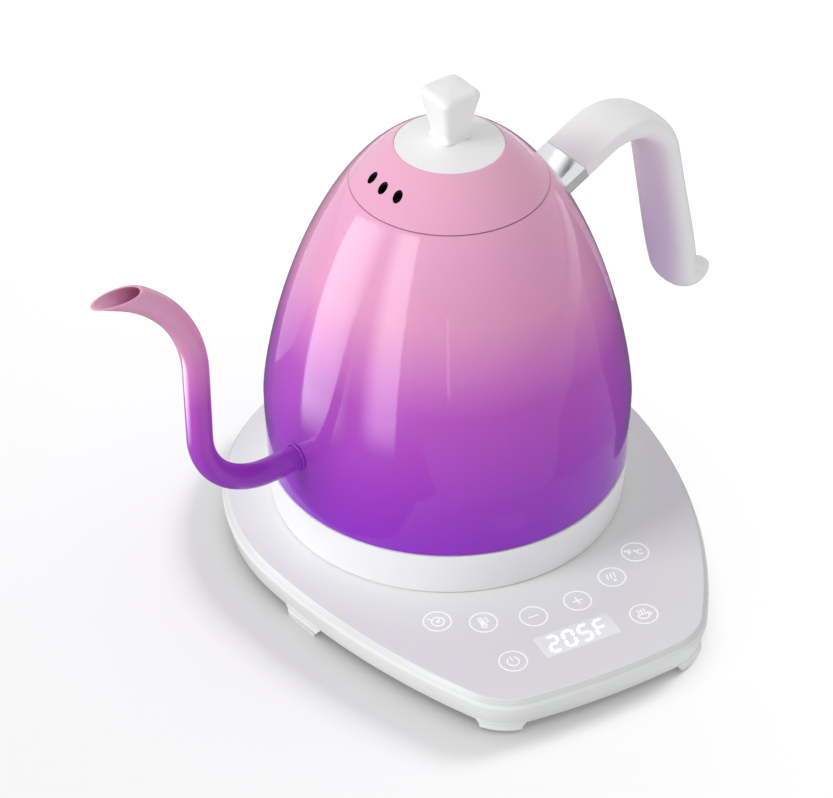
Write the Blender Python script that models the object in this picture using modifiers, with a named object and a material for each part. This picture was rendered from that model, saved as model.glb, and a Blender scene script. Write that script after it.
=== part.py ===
"""Electric gooseneck pour-over kettle with its lid, on a touch-control power base.

Run with: blender --background --python part.py
Units are metres, +Z is up, and the base's front edge faces -Y.
"""
import math

import bmesh
import bpy
from mathutils import Matrix, Vector

OBJECT_NAME = "gooseneck_kettle"

# Clearance left between pieces that touch, and the finer steps round a turned piece.
GAP = 0.0003
STEPS_LARGE = 48
STEPS_MEDIUM = 32
STEPS_INNER = 24
STEPS_SMALL = 18
STEPS_TINY = 10

# Power base: plan outline made of tangent arcs, seen from above.
BASE_BACK_RADIUS = 0.0923
BASE_SIDE_RADIUS = 0.230
BASE_CORNER_RADIUS = 0.025
BASE_CORNER_SPREAD = 0.060
BASE_FRONT_RADIUS = 0.300
BASE_FRONT_REACH = 0.132

# Power base: heights above the table and wall sizes.
BASE_HEIGHT = 0.0170
PAD_HEIGHT = 0.0012
FOOT_HEIGHT = 0.0025
FOOT_LENGTH = 0.018
FOOT_DEPTH = 0.0066
FOOT_PAD_MARGIN = 0.0008
SIDE_FOOT_SETBACK = 0.0385
REAR_FOOT_ANGLE = math.radians(58)
TRAY_FLOOR = 0.0020
TRAY_WALL = 0.0020
TRAY_LEAN = 0.0025
TRAY_STEP = 0.0007
PANEL_THICKNESS = 0.0023
PANEL_RIM_DEPTH = 0.0038
PANEL_RIM_WALL = 0.0020
PANEL_EDGE_ROUND = 0.0050

# Kettle shell: a turned egg, heights measured from the top of the base.
BELLY_RADIUS = 0.0730
BELLY_HEIGHT = 0.0472
DOME_HEIGHT = 0.1194
DOME_RISE = 1.36
DOME_ROUNDNESS = 2.212
SHELL_FOOT_TUCK = 0.0007
SHELL_WALL = 0.0008
SKIRT_HEIGHT = 0.0193
SKIRT_PROUD = 0.0006
SKIRT_TAPER = 0.0014
SKIRT_WALL = 0.0022
SHELL_TUCK_HEIGHT = 0.0130

# Heating end of the kettle, heights from the top of the base.
COVER_HEIGHT = 0.0020
COVER_THICKNESS = 0.0020
FLOOR_HEIGHT = 0.0160
FLOOR_THICKNESS = 0.0010
FLOOR_FLANGE = 0.0035
SPREADER_RADIUS = 0.050
SPREADER_THICKNESS = 0.0030
ELEMENT_RING_RADIUS = 0.042
ELEMENT_TUBE_RADIUS = 0.0032
ELEMENT_OPENING = math.radians(36)
THERMOSTAT_RADIUS = 0.0058
THERMOSTAT_HEIGHT = 0.0048
PROBE_RING_RADIUS = 0.0585
PROBE_RADIUS = 0.0020
PROBE_LENGTH = 0.0240
SEAL_WALL = 0.0012
SEAL_FLANGE = 0.0014
STUD_RING_RADIUS = 0.0585
STUD_RADIUS = 0.0030

# Coupling between base and kettle: plug below, socket above, all round.
PLUG_RADIUS = 0.0165
PLUG_HEIGHT = 0.0080
PLUG_FLANGE = 0.0045
PLUG_FLANGE_HEIGHT = 0.0027
PLUG_BORE = 0.0028
PLUG_BORE_DEPTH = 0.0100
PLUG_SLOT_INNER = 0.0066
PLUG_SLOT_OUTER = 0.0102
PLUG_SLOT_DEPTH = 0.0070
CONTACT_WALL = 0.0007
COUPLING_CLEARANCE = 0.0008
DRIP_LIP_WALL = 0.0026
DRIP_LIP_HEIGHT = 0.0011
SOCKET_WALL = 0.0067
SOCKET_FLANGE = 0.0030
SOCKET_ROOF = 0.0028
PIN_RADIUS = 0.0014

# Lid, depths measured down from the top of the egg.
SEAM_DEPTH = 0.0215
SEAM_WIDTH = 0.0005
CAP_DEPTH = 0.0057
CAP_RISE = 0.0040
CAP_TOP_RADIUS = 0.0092
CAP_SEAT_DEPTH = 0.0014
CAP_CURVE = 0.62
CAP_EDGE_SHARE = 0.08
LID_WALL = 0.0010
LEDGE_WIDTH = 0.0042
MOUTH_WALL = 0.0008
MOUTH_DEPTH = 0.0120
LEDGE_DROP = 0.0026
LINER_WALL = 0.0010
GASKET_WIDTH = 0.0012
GASKET_HEIGHT = 0.0040
VENT_RADIUS = 0.0019
VENT_DEPTH = 0.0134
VENT_SPACING = math.radians(14.6)

# Knob on the lid: a square post that widens upwards.
KNOB_HEIGHT = 0.0212
KNOB_FOOT_SIDE = 0.0112
KNOB_WAIST_SIDE = 0.0106
KNOB_TOP_SIDE = 0.0170
KNOB_CORNER = 0.0024
KNOB_EDGE = 0.0023

# Gooseneck spout, in the kettle's vertical middle plane.
SPOUT_HEIGHT = 0.0456
SPOUT_RADIUS = 0.0050
SPOUT_WALL = 0.0008
SPOUT_STANDOFF = 0.0431
SPOUT_LOWER_BEND = 0.0307
SPOUT_RISER = 0.0309
SPOUT_UPPER_BEND = 0.0520
SPOUT_TIP_TURN = math.radians(63.5)
SPOUT_MOUTH_HEIGHT = 0.1542
SPOUT_COLLAR_WIDTH = 0.0008
SPOUT_COLLAR_DEPTH = 0.0035

# Handle, in the same plane on the other side: rise, bend, drop and curled lip.
HANDLE_ROOT_DEPTH = 0.0402
HANDLE_WIDTH = 0.0233
HANDLE_GRIP_WIDTH = 0.0250
HANDLE_RISE_ANGLE = math.radians(26.2)
HANDLE_RISE = 0.0227
HANDLE_BEND_RADIUS = 0.0233
HANDLE_DROP_ANGLE = math.radians(12.6)
HANDLE_DROP = 0.0647
HANDLE_LIP_RADIUS = 0.0126
HANDLE_LIP_TURN = math.radians(107.5)
HANDLE_END_LENGTH = 0.0446
HANDLE_ROOT_THICKNESS = 0.0062
HANDLE_BEND_THICKNESS = 0.0132
HANDLE_DROP_THICKNESS = 0.0160
HANDLE_LIP_THICKNESS = 0.0055
HANDLE_ROOT_CORNER = 0.0009
HANDLE_CORNER_SHARE = 0.46
HANDLE_END_SHARE = 0.95
BRACKET_LENGTH = 0.0093
TONGUE_LENGTH = 0.0100
TONGUE_WIDTH = 0.0140
TONGUE_THICKNESS = 0.0024

# Controls under the base's front: keys as distance behind the front edge and distance
# from the middle line, mirrored left and right.
KEY_PLACES = ((0.0560, 0.0439), (0.0474, 0.0284), (0.0417, 0.0097), (0.0235, 0.0286))
KEY_PAD_RADIUS = 0.0044
DISPLAY_SETBACK = 0.0248
DISPLAY_WIDTH = 0.0325
DISPLAY_DEPTH = 0.0119
BOARD_THICKNESS = 0.0016
CONTROL_BOARD_SETBACK = 0.0140
CONTROL_BOARD_DEPTH = 0.0490
CONTROL_BOARD_REAR_WIDTH = 0.1020
CONTROL_BOARD_FRONT_WIDTH = 0.0760
CONTROL_BOARD_LIFT = 0.0033
POWER_BOARD_WIDTH = 0.0840
POWER_BOARD_DEPTH = 0.0460
POWER_BOARD_NEAR = 0.0260
POWER_BOARD_LIFT = 0.0009
COMPONENT_HEIGHT = 0.0050
BUZZER_RADIUS = 0.0060
BOSS_RADIUS = 0.0030
BOSS_SPREAD = 0.0620
BOSS_FRONT = 0.0380
BOSS_REAR = 0.0420
GROMMET_WIDTH = 0.0110
GROMMET_FLANGE = 0.0020
GROMMET_LENGTH = 0.0090
CORD_RADIUS = 0.0026

# Fasteners.
SCREW_SHANK_RADIUS = 0.0013
SCREW_HEAD_RADIUS = 0.0026
SCREW_HEAD_HEIGHT = 0.0015
SCREW_CROWN_SHARE = 0.72
SCREW_END_CLEARANCE = 0.0010

# The kettle stands on its base turned a little to the right of square.
KETTLE_TURN = math.radians(9.8)

# Heights above the table that follow from the sizes above.
FOOT_BOTTOM = PAD_HEIGHT + GAP
TRAY_BOTTOM = FOOT_BOTTOM + FOOT_HEIGHT
TRAY_FLOOR_TOP = TRAY_BOTTOM + TRAY_FLOOR
PANEL_RIM_BOTTOM = BASE_HEIGHT - PANEL_RIM_DEPTH
PANEL_UNDERSIDE = BASE_HEIGHT - PANEL_THICKNESS
TRAY_TOP = PANEL_RIM_BOTTOM - GAP
CONTROL_BOARD_FRONT = BASE_FRONT_REACH - CONTROL_BOARD_SETBACK
CONTROL_BOARD_REAR = CONTROL_BOARD_FRONT - CONTROL_BOARD_DEPTH
CONTROL_BOARD_BOTTOM = TRAY_FLOOR_TOP + CONTROL_BOARD_LIFT
CONTROL_BOARD_TOP = CONTROL_BOARD_BOTTOM + BOARD_THICKNESS
POWER_BOARD_BOTTOM = TRAY_FLOOR_TOP + POWER_BOARD_LIFT
POWER_BOARD_TOP = POWER_BOARD_BOTTOM + BOARD_THICKNESS

# Radii and heights in the kettle that follow from the sizes above.
SHELL_FOOT_RADIUS = BELLY_RADIUS - SHELL_FOOT_TUCK
SKIRT_TOP_RADIUS = SHELL_FOOT_RADIUS + SKIRT_PROUD
SKIRT_BOTTOM_RADIUS = SKIRT_TOP_RADIUS - SKIRT_TAPER
SKIRT_INNER_RADIUS = SKIRT_BOTTOM_RADIUS - SKIRT_WALL
TUCK_OUTER_RADIUS = SKIRT_INNER_RADIUS - GAP
TUCK_INNER_RADIUS = TUCK_OUTER_RADIUS - SHELL_WALL
COVER_TOP = COVER_HEIGHT + COVER_THICKNESS
SPREADER_TOP = FLOOR_HEIGHT - GAP
SPREADER_BOTTOM = SPREADER_TOP - SPREADER_THICKNESS
SOCKET_BORE = PLUG_RADIUS + COUPLING_CLEARANCE
SOCKET_RADIUS = SOCKET_BORE + SOCKET_WALL
SOCKET_BOTTOM = DRIP_LIP_HEIGHT + COUPLING_CLEARANCE
SOCKET_CEILING = PLUG_HEIGHT + COUPLING_CLEARANCE
DRIP_LIP_RADIUS = PLUG_RADIUS + COUPLING_CLEARANCE
EGG_TOP = BELLY_HEIGHT + DOME_HEIGHT
SEAM_HEIGHT = EGG_TOP - SEAM_DEPTH
CAP_HEIGHT = EGG_TOP - CAP_DEPTH
CAP_TOP_HEIGHT = CAP_HEIGHT + CAP_RISE
VENT_HEIGHT = EGG_TOP - VENT_DEPTH
HANDLE_ROOT_HEIGHT = EGG_TOP - HANDLE_ROOT_DEPTH
LEDGE_HEIGHT = SEAM_HEIGHT - LEDGE_DROP
MOUTH_BOTTOM = LEDGE_HEIGHT - MOUTH_DEPTH
CAP_SEAT = CAP_HEIGHT - CAP_SEAT_DEPTH
SPOUT_BORE = SPOUT_RADIUS - SPOUT_WALL


def egg_radius(height):
    """Outer radius of the kettle's egg at a height above the top of the base."""
    if height >= BELLY_HEIGHT:
        share = min((height - BELLY_HEIGHT) / DOME_HEIGHT, 1.0)
        return BELLY_RADIUS * (1.0 - share ** DOME_RISE) ** (1.0 / DOME_ROUNDNESS)
    share = (BELLY_HEIGHT - height) / (BELLY_HEIGHT - SKIRT_HEIGHT)
    return BELLY_RADIUS - (BELLY_RADIUS - SHELL_FOOT_RADIUS) * share ** 2


def egg_inner_radius(height, wall):
    """Radius of the egg's inner face, with the wall measured square to the surface."""
    step = 0.0001
    slope = (egg_radius(height + step) - egg_radius(height - step)) / (2.0 * step)
    return egg_radius(height) - wall * math.sqrt(1.0 + slope ** 2)


def spaced(first, last, count, bunch=1.0):
    """Values from first to last, closer together near last where bunch is above 1."""
    return [last + (first - last) * (1.0 - i / (count - 1)) ** bunch for i in range(count)]


MOUTH_RADIUS = egg_radius(SEAM_HEIGHT) - LEDGE_WIDTH


# Scene set-up.

def clear_scene():
    for old in list(bpy.data.objects):
        bpy.data.objects.remove(old, do_unlink=True)


def new_collection(name):
    collection = bpy.data.collections.new(name)
    bpy.context.scene.collection.children.link(collection)
    return collection


clear_scene()
PARTS = new_collection(OBJECT_NAME)
CUTTERS = new_collection("cutters")


def empty(name, parent=None, location=(0.0, 0.0, 0.0), turn=0.0):
    obj = bpy.data.objects.new(name, None)
    obj.empty_display_size = 0.02
    obj.location = location
    obj.rotation_euler = (0.0, 0.0, turn)
    obj.parent = parent
    PARTS.objects.link(obj)
    return obj


ROOT = empty("kettle_set")
BASE = empty("base_frame", ROOT)
KETTLE = empty("kettle_frame", ROOT, (0.0, 0.0, BASE_HEIGHT), KETTLE_TURN)
COUPLER = empty("coupler_frame", ROOT, (0.0, 0.0, BASE_HEIGHT), KETTLE_TURN)
LID = empty("lid_frame", KETTLE)

FINISHES = {
    "painted steel": ((0.55, 0.16, 0.48), 0.12, 0.0),
    "lid paint": ((0.74, 0.40, 0.58), 0.12, 0.0),
    "white plastic": ((0.86, 0.86, 0.87), 0.32, 0.0),
    "base plastic": ((0.78, 0.78, 0.80), 0.30, 0.0),
    "steel": ((0.66, 0.67, 0.68), 0.22, 1.0),
    "aluminium": ((0.72, 0.73, 0.74), 0.38, 1.0),
    "brass": ((0.76, 0.58, 0.24), 0.28, 1.0),
    "black plastic": ((0.03, 0.03, 0.03), 0.45, 0.0),
    "grey silicone": ((0.55, 0.56, 0.58), 0.60, 0.0),
    "black rubber": ((0.04, 0.04, 0.04), 0.75, 0.0),
    "pale rubber": ((0.66, 0.66, 0.67), 0.70, 0.0),
    "circuit board": ((0.03, 0.20, 0.09), 0.45, 0.0),
    "display glass": ((0.85, 0.87, 0.90), 0.15, 0.0),
    "blue film": ((0.10, 0.22, 0.50), 0.40, 0.0),
}


def material(finish):
    found = bpy.data.materials.get(finish)
    if found:
        return found
    colour, roughness, metallic = FINISHES[finish]
    made = bpy.data.materials.new(finish)
    made.use_nodes = True
    shader = made.node_tree.nodes["Principled BSDF"]
    shader.inputs["Base Color"].default_value = (*colour, 1.0)
    shader.inputs["Roughness"].default_value = roughness
    shader.inputs["Metallic"].default_value = metallic
    return made


# Modelling helpers.

def add_object(name, data, finish, parent):
    """Link a piece, or a cutter where finish is None, under its parent frame."""
    obj = bpy.data.objects.new(name, data)
    obj.parent = parent
    if finish is None:
        CUTTERS.objects.link(obj)
        obj.hide_render = True
        obj.display_type = "WIRE"
    else:
        PARTS.objects.link(obj)
        obj.data.materials.append(material(finish))
    return obj


def mesh_from(name, shape):
    """Close off a bmesh as mesh data with outward faces and smooth round sides."""
    bmesh.ops.recalc_face_normals(shape, faces=shape.faces)
    data = bpy.data.meshes.new(name)
    shape.to_mesh(data)
    shape.free()
    data.shade_smooth()
    data.set_sharp_from_angle(angle=math.radians(35))
    return data


def lathe_mesh(name, profile, closed):
    """Mesh of a turned piece's profile, given as radius and height pairs at +X."""
    count = len(profile)
    edges = [(i, i + 1) for i in range(count - 1)]
    if closed:
        edges.append((count - 1, 0))
    data = bpy.data.meshes.new(name)
    data.from_pydata([(radius, 0.0, height) for radius, height in profile], edges, [])
    return data


def lathe(name, profile, steps, finish, parent, closed=True):
    """Turned piece. A closed profile is a ring, an open one starts and ends on the axis."""
    obj = add_object(name, lathe_mesh(name, profile, closed), finish, parent)
    turned = obj.modifiers.new("turn", "SCREW")
    turned.axis = "Z"
    turned.angle = math.tau
    turned.steps = steps
    turned.render_steps = steps
    turned.use_merge_vertices = True
    turned.merge_threshold = 0.000001
    turned.use_smooth_shade = True
    return obj


def ring_profile(inner, outer, bottom, top):
    """Rectangular section of a ring, outer side first and running down."""
    return [(outer, top), (outer, bottom), (inner, bottom), (inner, top)]


def add_loft(shape, rings, looped=False):
    """Skin rings of points, all with the same count, into a closed form."""
    rows = [[shape.verts.new(point) for point in ring] for ring in rings]
    pairs = list(zip(rows, rows[1:]))
    if looped:
        pairs.append((rows[-1], rows[0]))
    for first, second in pairs:
        for i in range(len(first)):
            j = (i + 1) % len(first)
            shape.faces.new((first[i], first[j], second[j], second[i]))
    if not looped:
        shape.faces.new(rows[0])
        shape.faces.new(rows[-1])


def loft(name, rings, finish, parent, looped=False):
    shape = bmesh.new()
    add_loft(shape, rings, looped)
    return add_object(name, mesh_from(name, shape), finish, parent)


def level(points, height):
    return [(x, y, height) for x, y in points]


def prisms(name, outlines, bottom, top, finish, parent):
    """Upright prisms over plan outlines, in one mesh."""
    shape = bmesh.new()
    for points in outlines:
        add_loft(shape, [level(points, bottom), level(points, top)])
    return add_object(name, mesh_from(name, shape), finish, parent)


def rectangle(width, depth, x=0.0, y=0.0):
    half_w = width / 2.0
    half_d = depth / 2.0
    return [(x - half_w, y - half_d), (x + half_w, y - half_d),
            (x + half_w, y + half_d), (x - half_w, y + half_d)]


def circle(radius, count, x=0.0, y=0.0):
    turns = [math.tau * i / count for i in range(count)]
    return [(x + radius * math.cos(a), y + radius * math.sin(a)) for a in turns]


def around(radius, count, first=0.0):
    """Evenly spaced points on a circle about the axis."""
    return [(radius * math.cos(first + math.tau * i / count),
             radius * math.sin(first + math.tau * i / count)) for i in range(count)]


def rounded_rectangle(width, depth, radius, per_corner):
    points = []
    for quarter, (sx, sy) in enumerate(((1, 1), (-1, 1), (-1, -1), (1, -1))):
        cx = sx * (width / 2.0 - radius)
        cy = sy * (depth / 2.0 - radius)
        for i in range(per_corner):
            a = math.pi / 2.0 * (quarter + i / (per_corner - 1))
            points.append((cx + radius * math.cos(a), cy + radius * math.sin(a)))
    return points


def boolean(obj, operation, other):
    modifier = obj.modifiers.new(other.name, "BOOLEAN")
    modifier.operation = operation
    modifier.object = other
    modifier.solver = "EXACT"


def cut(obj, cutter):
    boolean(obj, "DIFFERENCE", cutter)


def merge(obj, addition):
    boolean(obj, "UNION", addition)


def follow_path(start, heading, runs):
    """Points along straight runs and arcs in a plane.

    Each run is (length or radius, turn, count): a turn of zero is a straight run. Gives
    (point, heading, run index, share of the run) for every station.
    """
    point = Vector(start)
    stations = [(point.copy(), heading, 0, 0.0)]
    for index, (size, turn, count) in enumerate(runs):
        first = point.copy()
        first_heading = heading
        for i in range(1, count + 1):
            share = i / count
            if turn == 0.0:
                way = Vector((math.cos(first_heading), math.sin(first_heading)))
                point = first + way * size * share
            else:
                side = math.copysign(1.0, turn)
                centre = first + Vector((-math.sin(first_heading), math.cos(first_heading))) * size * side
                heading = first_heading + turn * share
                point = centre + Vector((math.sin(heading), -math.cos(heading))) * size * side
            stations.append((point.copy(), heading, index, share))
    return stations


def tube_mesh(name, points, radius, sides_level, parent):
    """Round rod along points, as a mesh that booleans accept."""
    data = bpy.data.curves.new(name + "_path", "CURVE")
    data.dimensions = "3D"
    data.bevel_depth = radius
    data.bevel_resolution = sides_level
    data.use_fill_caps = True
    spline = data.splines.new("POLY")
    spline.points.add(len(points) - 1)
    for knot, place in zip(spline.points, points):
        knot.co = (*place, 1.0)
    curve = bpy.data.objects.new(name + "_path", data)
    curve.parent = parent
    PARTS.objects.link(curve)
    graph = bpy.context.evaluated_depsgraph_get()
    rod = bpy.data.meshes.new_from_object(curve.evaluated_get(graph))
    bpy.data.objects.remove(curve, do_unlink=True)
    shape = bmesh.new()
    shape.from_mesh(rod)
    bmesh.ops.remove_doubles(shape, verts=shape.verts, dist=0.000001)
    bpy.data.meshes.remove(rod)
    return mesh_from(name, shape)


def screw_mesh(name, length):
    """Pan-head screw along +Z with the head below zero height and the shank above."""
    shape = bmesh.new()
    head = circle(SCREW_HEAD_RADIUS, STEPS_TINY)
    crown = circle(SCREW_HEAD_RADIUS * SCREW_CROWN_SHARE, STEPS_TINY)
    shank = circle(SCREW_SHANK_RADIUS, STEPS_TINY)
    rings = [level(crown, -SCREW_HEAD_HEIGHT), level(head, -SCREW_HEAD_HEIGHT * 0.5), level(head, 0.0),
             level(shank, 0.0), level(shank, length)]
    add_loft(shape, rings)
    return mesh_from(name, shape)


# Power base.

def outline_centres():
    """Centres of the right-hand corner, side and front arcs of the plan outline."""
    front = Vector((0.0, BASE_FRONT_RADIUS - BASE_FRONT_REACH))
    half = BASE_CORNER_SPREAD / 2.0
    inner = BASE_FRONT_RADIUS - BASE_CORNER_RADIUS
    corner = Vector((half, front.y - math.sqrt(inner ** 2 - half ** 2)))
    to_back = BASE_SIDE_RADIUS - BASE_BACK_RADIUS
    to_corner = BASE_SIDE_RADIUS - BASE_CORNER_RADIUS
    span = corner.length
    along = (to_back ** 2 - to_corner ** 2 + span ** 2) / (2.0 * span)
    across = math.sqrt(to_back ** 2 - along ** 2)
    unit = corner / span
    side = unit * along - Vector((-unit.y, unit.x)) * across
    return front, corner, side


def bearing(vector):
    return math.atan2(vector.y, vector.x)


def outline_arcs():
    """Right half of the outline from front to back: centre, radius, start, end, count."""
    front, corner, side = outline_centres()
    front_end = bearing(corner - front)
    corner_end = bearing(corner - side)
    side_end = bearing(-side)
    return {
        "front": (front, BASE_FRONT_RADIUS, -math.pi / 2.0, front_end, 2),
        "corner": (corner, BASE_CORNER_RADIUS, front_end, corner_end, 5),
        "side": (side, BASE_SIDE_RADIUS, corner_end, side_end, 4),
        "back": (Vector((0.0, 0.0)), BASE_BACK_RADIUS, side_end, math.pi / 2.0, 10),
    }


ARCS = outline_arcs()


def base_outline(inset):
    """Plan outline of the base drawn in by inset, counter-clockwise from the front."""
    right = []
    for centre, radius, start, end, count in ARCS.values():
        for i in range(count):
            a = start + (end - start) * i / count
            spot = centre + Vector((math.cos(a), math.sin(a))) * (radius - inset)
            right.append((spot.x, spot.y))
    right.append((0.0, BASE_BACK_RADIUS - inset))
    left = [(-x, y) for x, y in reversed(right[1:-1])]
    return right + left


def matched_circle(radius):
    """Circle whose points lie on the same bearings as the plan outline's points."""
    bearings = [math.atan2(y, x) for x, y in base_outline(0.0)]
    return [(radius * math.cos(a), radius * math.sin(a)) for a in bearings]


def rim_strip(arc_name, middle, length, outer_inset, inner_inset, mirrored, count=4):
    """Plan outline of a block that follows one arc of the base's rim."""
    centre, radius = ARCS[arc_name][:2]
    half = length / (2.0 * radius)
    bearings = [middle - half + 2.0 * half * i / count for i in range(count + 1)]
    outer = [centre + Vector((math.cos(a), math.sin(a))) * (radius - outer_inset) for a in bearings]
    inner = [centre + Vector((math.cos(a), math.sin(a))) * (radius - inner_inset) for a in reversed(bearings)]
    flip = -1.0 if mirrored else 1.0
    return [(flip * p.x, p.y) for p in outer + inner]


def feet_places():
    """Arc and bearing of each foot: front corners, sides and rear."""
    corner = ARCS["corner"]
    side = ARCS["side"]
    side_bearing = math.asin((-SIDE_FOOT_SETBACK - side[0].y) / side[1])
    return (("corner", (corner[2] + corner[3]) / 2.0), ("side", side_bearing), ("back", REAR_FOOT_ANGLE))


def tray_wall_inset():
    return TRAY_STEP + TRAY_LEAN


def build_tray():
    low = tray_wall_inset()
    rings = [
        level(base_outline(low + FOOT_HEIGHT * 0.4), TRAY_BOTTOM),
        level(base_outline(low), TRAY_BOTTOM + FOOT_HEIGHT * 0.3),
        level(base_outline(TRAY_STEP), TRAY_TOP),
        level(base_outline(TRAY_STEP + TRAY_WALL), TRAY_TOP),
        level(base_outline(low + TRAY_WALL), TRAY_FLOOR_TOP),
    ]
    tray = loft("base_bottom_tray", rings, "white plastic", BASE)
    outer = low - FOOT_PAD_MARGIN
    feet = []
    for arc_name, middle in feet_places():
        for mirrored in (False, True):
            feet.append(rim_strip(arc_name, middle, FOOT_LENGTH, outer, outer + FOOT_DEPTH, mirrored))
    merge(tray, prisms("tray_feet", feet, FOOT_BOTTOM, TRAY_FLOOR_TOP - GAP, None, BASE))
    control = [circle(BOSS_RADIUS, STEPS_TINY, x, y) for x, y in control_board_bosses()]
    merge(tray, prisms("control_bosses", control, TRAY_BOTTOM + GAP, CONTROL_BOARD_BOTTOM - GAP, None, BASE))
    power = [circle(BOSS_RADIUS, STEPS_TINY, x, y) for x, y in power_board_bosses()]
    merge(tray, prisms("power_bosses", power, TRAY_BOTTOM + GAP, POWER_BOARD_BOTTOM - GAP, None, BASE))
    holes = [circle(SCREW_SHANK_RADIUS + GAP, STEPS_TINY, x, y) for x, y in housing_boss_places()]
    cut(tray, prisms("tray_screw_holes", holes, FOOT_BOTTOM, TRAY_FLOOR_TOP + TRAY_FLOOR, None, BASE))
    slot_width = GROMMET_WIDTH + 2.0 * GAP
    slot = rectangle(slot_width, GROMMET_LENGTH * 3.0, 0.0, BASE_BACK_RADIUS)
    cut(tray, prisms("grommet_slot", [slot], TRAY_FLOOR_TOP, BASE_HEIGHT, None, BASE))
    pad_outer = outer + FOOT_PAD_MARGIN
    pad_inner = outer + FOOT_DEPTH - FOOT_PAD_MARGIN
    number = 0
    for arc_name, middle in feet_places():
        for mirrored in (False, True):
            number += 1
            length = FOOT_LENGTH - 2.0 * FOOT_PAD_MARGIN
            strip = rim_strip(arc_name, middle, length, pad_outer, pad_inner, mirrored)
            prisms("foot_pad_%d" % number, [strip], 0.0, PAD_HEIGHT, "pale rubber", BASE)


def housing_boss_places():
    return [(side * BOSS_SPREAD, y) for side in (-1.0, 1.0) for y in (-BOSS_FRONT, BOSS_REAR)]


def build_panel():
    rim = PANEL_RIM_DEPTH
    edge = PANEL_EDGE_ROUND
    lip_top = BASE_HEIGHT + DRIP_LIP_HEIGHT
    lip_outer = DRIP_LIP_RADIUS + DRIP_LIP_WALL
    rings = [
        level(matched_circle(DRIP_LIP_RADIUS), lip_top),
        level(matched_circle(lip_outer - DRIP_LIP_HEIGHT / 2.0), lip_top),
        level(matched_circle(lip_outer), BASE_HEIGHT),
        level(base_outline(edge), BASE_HEIGHT),
        level(base_outline(edge * 0.52), BASE_HEIGHT - rim * 0.08),
        level(base_outline(edge * 0.20), BASE_HEIGHT - rim * 0.32),
        level(base_outline(edge * 0.03), BASE_HEIGHT - rim * 0.68),
        level(base_outline(0.0), PANEL_RIM_BOTTOM),
        level(base_outline(PANEL_RIM_WALL), PANEL_RIM_BOTTOM),
        level(base_outline(PANEL_RIM_WALL), PANEL_UNDERSIDE),
        level(matched_circle(DRIP_LIP_RADIUS), PANEL_UNDERSIDE),
    ]
    panel = loft("base_top_panel", rings, "base plastic", BASE, looped=True)
    places = housing_boss_places()
    posts = [circle(BOSS_RADIUS, STEPS_TINY, x, y) for x, y in places]
    merge(panel, prisms("panel_bosses", posts, TRAY_FLOOR_TOP + GAP, PANEL_UNDERSIDE + GAP, None, BASE))
    drills = [circle(SCREW_SHANK_RADIUS + GAP, STEPS_TINY, x, y) for x, y in places]
    cut(panel, prisms("panel_boss_holes", drills, TRAY_BOTTOM, PANEL_UNDERSIDE - GAP, None, BASE))
    length = PANEL_UNDERSIDE - SCREW_END_CLEARANCE - TRAY_BOTTOM
    data = screw_mesh("housing_screw", length)
    for number, (x, y) in enumerate(places, 1):
        screw = add_object("housing_screw_%d" % number, data, "steel", BASE)
        screw.location = (x, y, TRAY_BOTTOM - GAP)


def build_plug():
    top = BASE_HEIGHT + PLUG_HEIGHT
    bottom = TRAY_FLOOR_TOP + GAP
    flange_top = bottom + PLUG_FLANGE_HEIGHT
    flange = PLUG_RADIUS + PLUG_FLANGE
    chamfer = PLUG_RADIUS * 0.06
    slot_floor = top - PLUG_SLOT_DEPTH
    bore_floor = top - PLUG_BORE_DEPTH
    profile = [
        (0.0, bore_floor), (PLUG_BORE, bore_floor), (PLUG_BORE, top),
        (PLUG_SLOT_INNER, top), (PLUG_SLOT_INNER, slot_floor),
        (PLUG_SLOT_OUTER, slot_floor), (PLUG_SLOT_OUTER, top),
        (PLUG_RADIUS - chamfer, top), (PLUG_RADIUS, top - chamfer),
        (PLUG_RADIUS, flange_top), (flange, flange_top), (flange, bottom), (0.0, bottom),
    ]
    lathe("connector_plug", profile, STEPS_SMALL, "black plastic", BASE, closed=False)
    inner = PLUG_SLOT_INNER + GAP
    ring = ring_profile(inner, inner + CONTACT_WALL, slot_floor + GAP, top - CONTACT_WALL)
    lathe("plug_ring_contact", ring, STEPS_SMALL, "brass", BASE)
    outer = PLUG_BORE - GAP
    sleeve = ring_profile(outer - CONTACT_WALL, outer, bore_floor + GAP, top - CONTACT_WALL)
    lathe("plug_centre_contact", sleeve, STEPS_TINY, "brass", BASE)


def control_board_bosses():
    """Posts under the four corners of the control board."""
    margin = 2.5 * BOSS_RADIUS
    rear = (CONTROL_BOARD_REAR_WIDTH / 2.0 - margin, -CONTROL_BOARD_REAR - margin)
    front = (CONTROL_BOARD_FRONT_WIDTH / 2.0 - margin, -CONTROL_BOARD_FRONT + margin)
    return [(side * x, y) for side in (-1.0, 1.0) for x, y in (rear, front)]


def power_board_middle():
    return POWER_BOARD_NEAR + POWER_BOARD_DEPTH / 2.0


def power_board_bosses():
    reach_x = POWER_BOARD_WIDTH / 2.0 - 2.0 * BOSS_RADIUS
    reach_y = POWER_BOARD_DEPTH / 2.0 - 2.0 * BOSS_RADIUS
    middle = power_board_middle()
    return [(sx * reach_x, middle + sy * reach_y) for sx in (-1.0, 1.0) for sy in (-1.0, 1.0)]


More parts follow.
